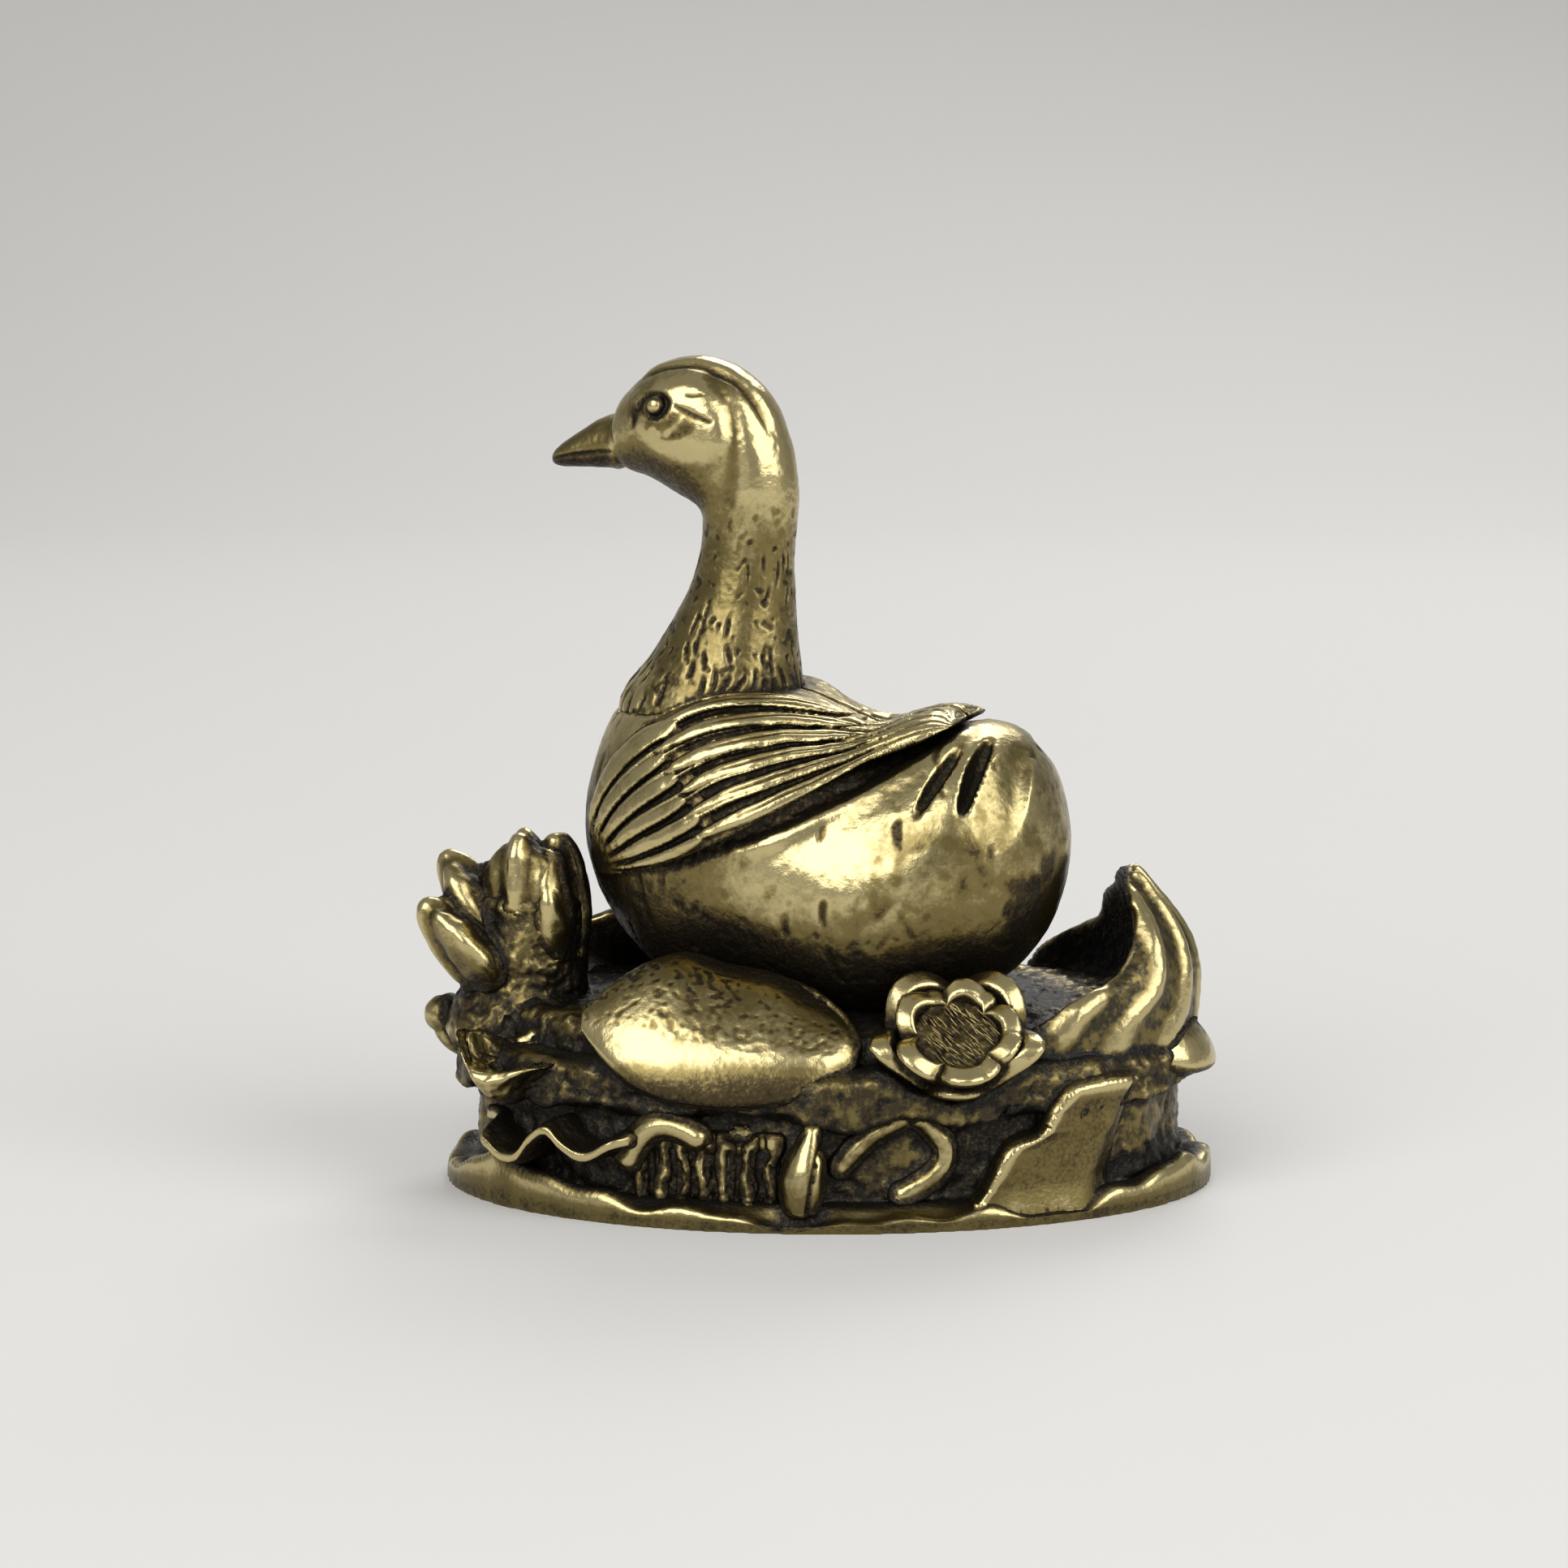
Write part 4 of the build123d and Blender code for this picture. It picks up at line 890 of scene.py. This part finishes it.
def bud_relief(points, normals):
    """A bud with a deep line on each side and a dull foot."""
    low = points.min(axis=0)
    high = points.max(axis=0)
    aside = (2.0 * points[:, 0] - low[0] - high[0]) / (high[0] - low[0])
    rise = (points[:, 2] - low[2]) / (high[2] - low[2])
    height = 0.16 - 0.2 * bell(aside - 0.35 - 0.3 * rise, 0.14) + 0.05 * lattice_noise(points, 0.7, 68)
    moves = normals * height[:, None]
    moves[:, 0] += 0.5 * rise * rise
    return moves, 0.6 * bell(aside - 0.35, 0.18) + 0.4 * fall(rise, 0.0, 0.4) - 0.25 * ramp(rise, 0.4, 0.8)


def rough_relief(points, normals):
    """The slightly uneven skin of a small casting."""
    height = 0.05 * lattice_noise(points, 0.9, 61) + 0.02 * lattice_noise(points, 0.28, 62)
    return normals * height[:, None], 0.1 * lattice_noise(points, 0.6, 66)


# Brass

def toned(colour, level, blue):
    """A colour made lighter or darker, and cooler, with its opacity."""
    cool = (1.0 - 0.45 * blue, 1.0 + 0.1 * blue, 1.0 + 1.6 * blue)
    return tuple(level * part * shade for part, shade in zip(colour, cool)) + (1.0,)


def brass(slot):
    """The old brass of one slot: bright where it is rubbed or a highlight is painted, brown to black where it
    is sheltered or shade is painted.
    """
    name = "old_" + slot
    if name in bpy.data.materials:
        return bpy.data.materials[name]
    finish = bpy.context.scene.brass_finish
    level, blue = SLOT_TONES[slot]
    material = bpy.data.materials.new(name)
    material.use_nodes = True
    tree = material.node_tree
    tree.nodes.clear()
    out = tree.nodes.new("ShaderNodeOutputMaterial")
    shader = tree.nodes.new("ShaderNodeBsdfPrincipled")
    place = tree.nodes.new("ShaderNodeTexCoord")
    # The patina mark carries the patina together with painted highlights and painted shade.
    patina = tree.nodes.new("ShaderNodeAttribute")
    patina.attribute_name = "patina"
    dark = patina.outputs["Fac"]
    speckle = noise_on(tree, place, 5200.0, 3.0, 0.6)
    cloud = noise_on(tree, place, 420.0, 2.0, 0.5)
    skin = noise_on(tree, place, 5200.0, 2.0, 0.55)
    speckled = map_range(tree, speckle, 0.25, 0.75, 0.12, -0.12)
    sandy = map_range(tree, dark, 0.3, 0.8, 0.5, 2.6)
    speckled = combined(tree, "MULTIPLY", speckled, sandy)
    clouded = map_range(tree, cloud, 0.3, 0.7, -0.05, 0.05)
    depth = combined(tree, "ADD", combined(tree, "ADD", dark, speckled), clouded)
    colours = tree.nodes.new("ShaderNodeValToRGB")
    stops = colours.color_ramp
    stops.interpolation = "EASE"
    stops.elements.remove(stops.elements[1])
    for tone, position, cool in PATINA_STOPS:
        stop = stops.elements[0] if tone == "polished" else stops.elements.new(position)
        stop.position = position
        stop.color = toned(getattr(finish, tone), level, cool * blue)
    rough = map_range(tree, depth, 0.0, 0.9, finish.polished_roughness, finish.patina_roughness)
    metal = map_range(tree, depth, 0.45, 1.0, 1.0, 0.8)
    bump = new_node(tree, "ShaderNodeBump", {"Distance": 0.05 * MM})
    sand = map_range(tree, dark, 0.3, 0.8, 0.25, 1.0)
    join = tree.links.new
    join(depth, colours.inputs["Fac"])
    join(colours.outputs["Color"], shader.inputs["Base Color"])
    join(rough, shader.inputs["Roughness"])
    join(metal, shader.inputs["Metallic"])
    join(sand, bump.inputs["Strength"])
    join(skin, bump.inputs["Height"])
    join(bump.outputs["Normal"], shader.inputs["Normal"])
    join(shader.outputs["BSDF"], out.inputs["Surface"])
    return material


def new_node(tree, kind, values):
    """A new node with values for its inputs."""
    node = tree.nodes.new(kind)
    for name, value in values.items():
        node.inputs[name].default_value = value
    return node


def noise_on(tree, place, scale, detail, roughness):
    """Noise on the piece's own coordinates."""
    values = {"Scale": scale, "Detail": detail, "Roughness": roughness}
    noise = new_node(tree, "ShaderNodeTexNoise", values)
    tree.links.new(place.outputs["Object"], noise.inputs["Vector"])
    return noise.outputs["Fac"]


def map_range(tree, value, low, high, first, last):
    """A value moved from one range to another."""
    values = {"From Min": low, "From Max": high, "To Min": first, "To Max": last}
    node = new_node(tree, "ShaderNodeMapRange", values)
    tree.links.new(value, node.inputs["Value"])
    return node.outputs["Result"]


def combined(tree, operation, first, second):
    """Two values put together."""
    node = tree.nodes.new("ShaderNodeMath")
    node.operation = operation
    tree.links.new(first, node.inputs[0])
    tree.links.new(second, node.inputs[1])
    return node.outputs["Value"]


# Patina, and painted shade on what faces down

def even_directions(count):
    """Directions spread evenly over a ball."""
    number = np.arange(count) + 0.5
    height = 1.0 - 2.0 * number / count
    turn = number * math.pi * (1.0 + math.sqrt(5.0))
    flat = np.sqrt(1.0 - height * height)
    return np.stack((flat * np.cos(turn), flat * np.sin(turn), height), axis=1)


def crowded_cells(places):
    """The cells of space that hold a casting, and the corner that they are counted from."""
    crowd = np.concatenate(places)
    margin = SHADE_REACH + 1.0
    corner = crowd.min(axis=0) - margin
    size = np.ceil((crowd.max(axis=0) + margin - corner) / SHADE_PITCH).astype(int) + 1
    filled = np.zeros(size, dtype=bool)
    cell = ((crowd - corner) / SHADE_PITCH).astype(int)
    filled[cell[:, 0], cell[:, 1], cell[:, 2]] = True
    return filled, corner


def shelter(points, normals, filled, corner):
    """How far each place is hidden from its surroundings, 0 on a ridge and near 1 deep in a gap."""
    start = points + SHADE_START * normals
    seen = np.zeros(len(points))
    total = np.full(len(points), 1e-6)
    for direction in even_directions(SHADE_VIEWS):
        facing = normals @ direction
        chosen = np.flatnonzero(facing > SHADE_FACING)
        here = (start[chosen] - corner) / SHADE_PITCH
        blocked = np.zeros(len(chosen), dtype=bool)
        for reach in np.arange(0.0, SHADE_REACH, SHADE_PITCH):
            cell = (here + direction * (reach / SHADE_PITCH)).astype(np.int32)
            blocked |= filled[cell[:, 0], cell[:, 1], cell[:, 2]]
        seen[chosen] += facing[chosen] * ~blocked
        total[chosen] += facing[chosen]
    return 1.0 - seen / total


def castings():
    """All pieces that carry a stain mark."""
    return [piece for piece in bpy.data.objects if piece.type == "MESH" and "stain" in piece.data.attributes]


def values_of(mesh, name):
    """The values of a mark."""
    flat = np.empty(len(mesh.vertices), dtype=np.float32)
    mesh.attributes[name].data.foreach_get("value", flat)
    return flat.astype(float)


def ridges(points, normals, edges):
    """How sharply each place stands out, in millimetres over a few faces."""
    bulge = np.sum((points - neighbour_mean(points, edges)) * normals, axis=1)[:, None]
    return blended(bulge, edges, 3, 0.6)[:, 0]


def patina_of(points, normals, edges, hidden, stain):
    """How dark each place has grown, 0 where it is bright, with painted shade on places that face down."""
    first_patina = bpy.context.scene.brass_finish.first_patina
    worn = ridges(points, normals, edges)
    grain = np.linalg.norm(points[edges[:, 0]] - points[edges[:, 1]], axis=1).mean()
    rubbed = np.clip(worn / grain * RUB_GAIN, *RUB_LIMITS)
    cloud = lattice_noise(points, 0.8, 71) + 0.6 * lattice_noise(points, 0.3, 72)
    # Painted shade: places that face down are darkened.
    under = fall(normals[:, 2], -0.8, 0.0) * ramp(points[:, 2], 1.2, 2.5)
    patina = first_patina + SHADE_SHARE * ramp(hidden, 0.05, 0.55) + STAIN_SHARE * stain
    patina = patina + UNDERSIDE_SHADE_SHARE * under
    patina = patina + CLOUD_SHARE * cloud - RUB_SHARE * rubbed
    return np.clip(patina, 0.0, DARKEST)


# Stamens

def stamen_tree():
    """Short rods laid at random over a round pod."""
    tree = bpy.data.node_groups.new("Stamens", "GeometryNodeTree")
    face = tree.interface
    face.new_socket("Geometry", in_out="OUTPUT", socket_type="NodeSocketGeometry")
    for name in ("Pod radius", "Stamen density", "Stamen length", "Stamen width"):
        face.new_socket(name, in_out="INPUT", socket_type="NodeSocketFloat")
    face.new_socket("Brass", in_out="INPUT", socket_type="NodeSocketMaterial")
    nodes = tree.nodes
    entry = nodes.new("NodeGroupInput")
    leave = nodes.new("NodeGroupOutput")
    disc = new_node(tree, "GeometryNodeMeshCircle", {"Vertices": 24})
    disc.fill_type = "NGON"
    spread = new_node(tree, "GeometryNodeDistributePointsOnFaces", {"Seed": 4})
    rod = new_node(tree, "GeometryNodeMeshUVSphere", {"Segments": 8, "Rings": 6, "Radius": 0.5})
    size = nodes.new("ShaderNodeCombineXYZ")
    turn = new_node(tree, "FunctionNodeRandomValue", {0: STAMEN_TURNS[0], 1: STAMEN_TURNS[1], "Seed": 7})
    turn.data_type = "FLOAT_VECTOR"
    plant = nodes.new("GeometryNodeInstanceOnPoints")
    real = nodes.new("GeometryNodeRealizeInstances")
    paint = nodes.new("GeometryNodeSetMaterial")
    join = tree.links.new
    join(entry.outputs["Pod radius"], disc.inputs["Radius"])
    join(disc.outputs["Mesh"], spread.inputs["Mesh"])
    join(entry.outputs["Stamen density"], spread.inputs["Density"])
    join(entry.outputs["Stamen length"], size.inputs["Y"])
    join(entry.outputs["Stamen width"], size.inputs["X"])
    join(entry.outputs["Stamen width"], size.inputs["Z"])
    join(spread.outputs["Points"], plant.inputs["Points"])
    join(rod.outputs["Mesh"], plant.inputs["Instance"])
    join(turn.outputs[0], plant.inputs["Rotation"])
    join(size.outputs["Vector"], plant.inputs["Scale"])
    join(plant.outputs["Instances"], real.inputs["Geometry"])
    join(real.outputs["Geometry"], paint.inputs["Geometry"])
    join(entry.outputs["Brass"], paint.inputs["Material"])
    join(paint.outputs["Geometry"], leave.inputs["Geometry"])
    return tree


def grown(tree, settings):
    """A node tree's result as a plain mesh, from settings by socket name."""
    holder = bpy.data.objects.new("grown", bpy.data.meshes.new("seed"))
    bpy.context.scene.collection.objects.link(holder)
    growth = holder.modifiers.new("Growth", "NODES")
    growth.node_group = tree
    for socket in tree.interface.items_tree:
        if socket.in_out == "INPUT":
            growth[socket.identifier] = settings[socket.name]
    mesh = bpy.data.meshes.new_from_object(holder.evaluated_get(bpy.context.evaluated_depsgraph_get()))
    bpy.data.objects.remove(holder)
    return mesh


def joined(piece, extra, place):
    """Adds the stamens to a piece at a place."""
    sheet = bmesh.new()
    sheet.from_mesh(piece.data)
    extra.transform(place)
    mark = extra.attributes.new("stain", "FLOAT", "POINT")
    mark.data.foreach_set("value", np.full(len(extra.vertices), STAMEN_STAIN, dtype=np.float32))
    sheet.from_mesh(extra)
    sheet.to_mesh(piece.data)
    sheet.free()
    bpy.data.meshes.remove(extra)
    piece.data.shade_smooth()


# Studio

def backdrop(setting):
    """A pale sheet that lies on the table and sweeps up behind."""
    profile = [(SWEEP_FRONT, 0.0), (SWEEP_START, 0.0)]
    for step in range(1, SWEEP_STEPS + 1):
        turn = step / SWEEP_STEPS * math.pi / 2.0
        along = SWEEP_START + SWEEP_RADIUS * math.sin(turn)
        profile.append((along, SWEEP_RADIUS - SWEEP_RADIUS * math.cos(turn)))
    profile.append((SWEEP_START + SWEEP_RADIUS, SWEEP_TOP))
    mesh = bpy.data.meshes.new("backdrop")
    points = [(side * SWEEP_HALF, along, height) for along, height in profile for side in (-1.0, 1.0)]
    faces = [(2 * n, 2 * n + 1, 2 * n + 3, 2 * n + 2) for n in range(len(profile) - 1)]
    mesh.from_pydata(points, [], faces)
    mesh.shade_smooth()
    material = bpy.data.materials.new("pale_paper")
    material.use_nodes = True
    shader = material.node_tree.nodes["Principled BSDF"]
    shader.inputs["Base Color"].default_value = tuple(setting.floor_colour) + (1.0,)
    shader.inputs["Roughness"].default_value = PAPER_ROUGHNESS
    mesh.materials.append(material)
    sheet = bpy.data.objects.new("backdrop", mesh)
    bpy.context.scene.collection.objects.link(sheet)
    return sheet


def lamp(name, place, size, power):
    """A soft square lamp that points at the duck."""
    data = bpy.data.lights.new(name, "AREA")
    data.size = size
    data.energy = power
    item = bpy.data.objects.new(name, data)
    item.location = place
    aim = Vector(LAMP_TARGET) - Vector(place)
    item.rotation_euler = aim.to_track_quat("-Z", "Y").to_euler()
    bpy.context.scene.collection.objects.link(item)


def view_camera(setting):
    """The camera at the height and distance of the picture."""
    data = bpy.data.cameras.new("view")
    data.lens = setting.lens
    data.sensor_width = 36.0
    data.clip_start = 0.01
    item = bpy.data.objects.new("view", data)
    back = Vector((0.0, -math.cos(setting.elevation), math.sin(setting.elevation)))
    item.location = Vector(setting.middle) + back * setting.distance
    item.rotation_euler = (math.pi / 2.0 - setting.elevation, 0.0, 0.0)
    bpy.context.scene.collection.objects.link(item)
    return item


# Pieces, patina and stage, in the order of the work

class DUCK_OT_body(Operator):
    """Casts the duck's body with the grooves under its wings"""
    bl_idname = "brass_duck.body"
    bl_label = "Body"

    def execute(self, context):
        cast("duck_body", "duck_brass", body_relief, grain=0.14, rounds=3, melt=220, where=worn_slot)
        return {"FINISHED"}


class DUCK_OT_neck_and_head(Operator):
    """Casts the neck and the head with the eye, cheek and crest lines"""
    bl_idname = "brass_duck.neck_and_head"
    bl_label = "Neck and head"

    def execute(self, context):
        cast("duck_neck_and_head", "duck_brass", neck_relief, grain=0.085, rounds=3)
        return {"FINISHED"}


class DUCK_OT_wings(Operator):
    """Casts both wings with their feathers and quills"""
    bl_idname = "brass_duck.wings"
    bl_label = "Wings"

    def execute(self, context):
        for node, side in (("duck_left_wing", -1.0), ("duck_right_wing", 1.0)):
            cast(node, "duck_brass", wing_relief(side), grain=0.07, rounds=3, melt=90, where=wing_end)
        return {"FINISHED"}


class DUCK_OT_eyes(Operator):
    """Casts the two bead eyes"""
    bl_idname = "brass_duck.eyes"
    bl_label = "Eyes"

    def execute(self, context):
        for node in ("duck_left_eye", "duck_right_eye"):
            cast(node, "eye_brass", eye_relief, grain=0.04, rounds=2)
        return {"FINISHED"}


class POND_OT_base(Operator):
    """Casts the plinth with its wavy foot and the pond leaf on it"""
    bl_idname = "brass_duck.base"
    bl_label = "Plinth and pond leaf"

    def execute(self, context):
        cast("plinth", "base_brass", plinth_relief, grain=0.17, rounds=3)
        cast("pond_leaf", "base_brass", pond_relief, grain=0.14, rounds=3)
        return {"FINISHED"}


class POND_OT_smooth_leaves(Operator):
    """Casts the leaves that are rubbed smooth"""
    bl_idname = "brass_duck.smooth_leaves"
    bl_label = "Smooth leaves"

    def execute(self, context):
        for node in ("front_leaf", "back_leaf", "side_leaf"):
            cast(node, "leaf_brass", smooth_leaf_relief, grain=0.09, rounds=5)
        cast("rolled_leaf", "leaf_brass", rolled_leaf_relief, grain=0.07, rounds=4, melt=6)
        cast("hanging_leaf", "leaf_brass", hanging_leaf_relief, grain=0.08, rounds=5)
        return {"FINISHED"}


class POND_OT_ruffled_leaves(Operator):
    """Casts the ruffled ledges and the ribbed leaf under the deck"""
    bl_idname = "brass_duck.ruffled_leaves"
    bl_label = "Ruffled and ribbed leaves"

    def execute(self, context):
        for node in ("front_ruffled_leaf", "back_ruffled_leaf"):
            cast(node, "leaf_brass", ruffled_leaf_relief, grain=0.08, rounds=4, melt=5)
        cast("ribbed_leaf", "leaf_brass", ribbed_leaf_relief, grain=0.07, rounds=3)
        return {"FINISHED"}


class POND_OT_standing_leaf(Operator):
    """Casts the leaf that stands up round the right-hand end"""
    bl_idname = "brass_duck.standing_leaf"
    bl_label = "Standing leaf"

    def execute(self, context):
        cast("standing_leaf", "standing_leaf_brass", folded_leaf_relief, grain=0.1, rounds=4, melt=70)
        return {"FINISHED"}


class POND_OT_flower(Operator):
    """Casts the open flower and plants the stamens on its pod"""
    bl_idname = "brass_duck.flower"
    bl_label = "Open flower"

    def execute(self, context):
        sizes = context.scene.pond_carving
        outer = petal_rim_relief(OUTER_NOTCHES, depth=2.7, cut=0.5, tuck=1.0)
        cup = petal_rim_relief(CUP_NOTCHES, depth=2.95, cut=0.6, tuck=0.0)
        cast("flower_outer_petals", "flower_brass", outer, grain=0.06, rounds=4, melt=14)
        cast("flower_cup", "flower_brass", cup, grain=0.06, rounds=4, melt=14)
        pod = cast("flower_pod", "flower_brass", pod_relief, grain=0.06, rounds=3)
        radius = POD_RADIUS * MM
        stamens = grown(stamen_tree(), {
            "Pod radius": radius,
            "Stamen density": sizes.stamen_count / (math.pi * radius * radius),
            "Stamen length": sizes.stamen_length,
            "Stamen width": sizes.stamen_width,
            "Brass": brass("flower_brass"),
        })
        low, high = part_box("flower_pod")
        axis = Vector(POD_AXIS)
        tilt = axis.to_track_quat("Z", "X").to_matrix().to_4x4()
        top = max(vertex.co.dot(axis) for vertex in pod.data.vertices)
        middle = (low + high) / 2.0
        middle = middle + axis * (top - STAMEN_SINK * MM - middle.dot(axis))
        joined(pod, stamens, Matrix.Translation(middle) @ tilt)
        return {"FINISHED"}


class POND_OT_bloom(Operator):
    """Casts the half-open flower at the left with its stem"""
    bl_idname = "brass_duck.bloom"
    bl_label = "Half-open flower"

    def execute(self, context):
        cast("bloom_petals", "flower_brass", bloom_petal_relief(LEANING_PETALS), grain=0.07, rounds=4)
        cast("bloom_heart", "flower_brass", bloom_petal_relief(HEART_PETALS), grain=0.07, rounds=4)
        cast("bloom_stem", "stem_brass", trunk_relief, grain=0.09, rounds=3)
        return {"FINISHED"}


class POND_OT_buds(Operator):
    """Casts the buds and the curled stems in the recess"""
    bl_idname = "brass_duck.buds"
    bl_label = "Buds and curled stems"

    def execute(self, context):
        for node in ("knob_bud", "left_curled_stem", "right_curled_stem"):
            cast(node, "stem_brass", rough_relief, grain=0.06, rounds=3)
        cast("standing_bud", "stem_brass", bud_relief, grain=0.06, rounds=4)
        return {"FINISHED"}


class BRASS_OT_patina(Operator):
    """Darkens what is sheltered, paints shade on what faces down, and brightens what hands would rub"""
    bl_idname = "brass_duck.patina"
    bl_label = "Patina"

    def execute(self, context):
        finish = context.scene.brass_finish
        pieces = castings()
        places = [points_of(piece.data) / MM for piece in pieces]
        filled, corner = crowded_cells(places)
        for piece, points in zip(pieces, places):
            mesh = piece.data
            normals = normals_of(mesh)
            edges = edges_of(mesh)
            hidden = blended(shelter(points, normals, filled, corner)[:, None], edges, 2, 0.5)
            patina = patina_of(points, normals, edges, hidden[:, 0], values_of(mesh, "stain"))
            # The patina mark holds the patina together with painted highlights and painted shade.
            mark = mesh.attributes.new("patina", "FLOAT", "POINT")
            mark.data.foreach_set("value", patina.astype(np.float32))
            mesh.attributes.remove(mesh.attributes["stain"])
            if not piece.name.startswith(UNWELDED):
                hidden = blended(hidden, edges, 6, 0.6)
                fillet = finish.weld * ramp(hidden, 0.3, 0.75) * ramp(points[:, 2:], 0.3, 1.2)
                put_points(mesh, (points + normals * fillet) * MM)
        return {"FINISHED"}


class STAGE_OT_studio(Operator):
    """Sets the floor, the backdrop, the soft lamps and the camera"""
    bl_idname = "brass_duck.studio"
    bl_label = "Studio"

    def execute(self, context):
        setting = context.scene.studio_setting
        sweep = backdrop(setting)
        for name, place, size, share in LAMPS:
            lamp(name, place, size, share * setting.key_level)
        world = bpy.data.worlds.new("studio")
        world.use_nodes = True
        sky = world.node_tree.nodes["Background"]
        sky.inputs["Color"].default_value = (1.0, 1.0, 1.0, 1.0)
        sky.inputs["Strength"].default_value = setting.world_level
        context.scene.world = world
        context.scene.camera = view_camera(setting)
        context.scene.view_settings.view_transform = "Standard"
        return {"FINISHED"}


class DUCK_PT_workshop(Panel):
    """Lists the steps of the casting"""
    bl_idname = "DUCK_PT_workshop"
    bl_label = "Brass duck"
    bl_space_type = "VIEW_3D"
    bl_region_type = "UI"
    bl_category = "Brass duck"

    def draw(self, context):
        for step in STEPS:
            self.layout.operator(step.bl_idname)
        for group in GROUPS:
            box = self.layout.box()
            values = getattr(context.scene, group)
            for name in values.__annotations__:
                box.prop(values, name)


GROUPS = {
    "duck_carving": DuckCarving,
    "pond_carving": PondCarving,
    "brass_finish": BrassFinish,
    "studio_setting": StudioSetting,
}
STEPS = (
    DUCK_OT_body,
    DUCK_OT_neck_and_head,
    DUCK_OT_wings,
    DUCK_OT_eyes,
    POND_OT_base,
    POND_OT_smooth_leaves,
    POND_OT_ruffled_leaves,
    POND_OT_standing_leaf,
    POND_OT_flower,
    POND_OT_bloom,
    POND_OT_buds,
    BRASS_OT_patina,
    STAGE_OT_studio,
)


def register():
    for name, group in GROUPS.items():
        bpy.utils.register_class(group)
        setattr(bpy.types.Scene, name, PointerProperty(type=group))
    for step in STEPS:
        bpy.utils.register_class(step)
    bpy.utils.register_class(DUCK_PT_workshop)


def unregister():
    bpy.utils.unregister_class(DUCK_PT_workshop)
    for step in reversed(STEPS):
        bpy.utils.unregister_class(step)
    for name, group in GROUPS.items():
        delattr(bpy.types.Scene, name)
        bpy.utils.unregister_class(group)


def main():
    register()
    bpy.ops.brass_duck.body()
    bpy.ops.brass_duck.neck_and_head()
    bpy.ops.brass_duck.wings()
    bpy.ops.brass_duck.eyes()
    bpy.ops.brass_duck.base()
    bpy.ops.brass_duck.smooth_leaves()
    bpy.ops.brass_duck.ruffled_leaves()
    bpy.ops.brass_duck.standing_leaf()
    bpy.ops.brass_duck.flower()
    bpy.ops.brass_duck.bloom()
    bpy.ops.brass_duck.buds()
    bpy.ops.brass_duck.patina()
    bpy.ops.brass_duck.studio()


if __name__ == "__main__":
    main()
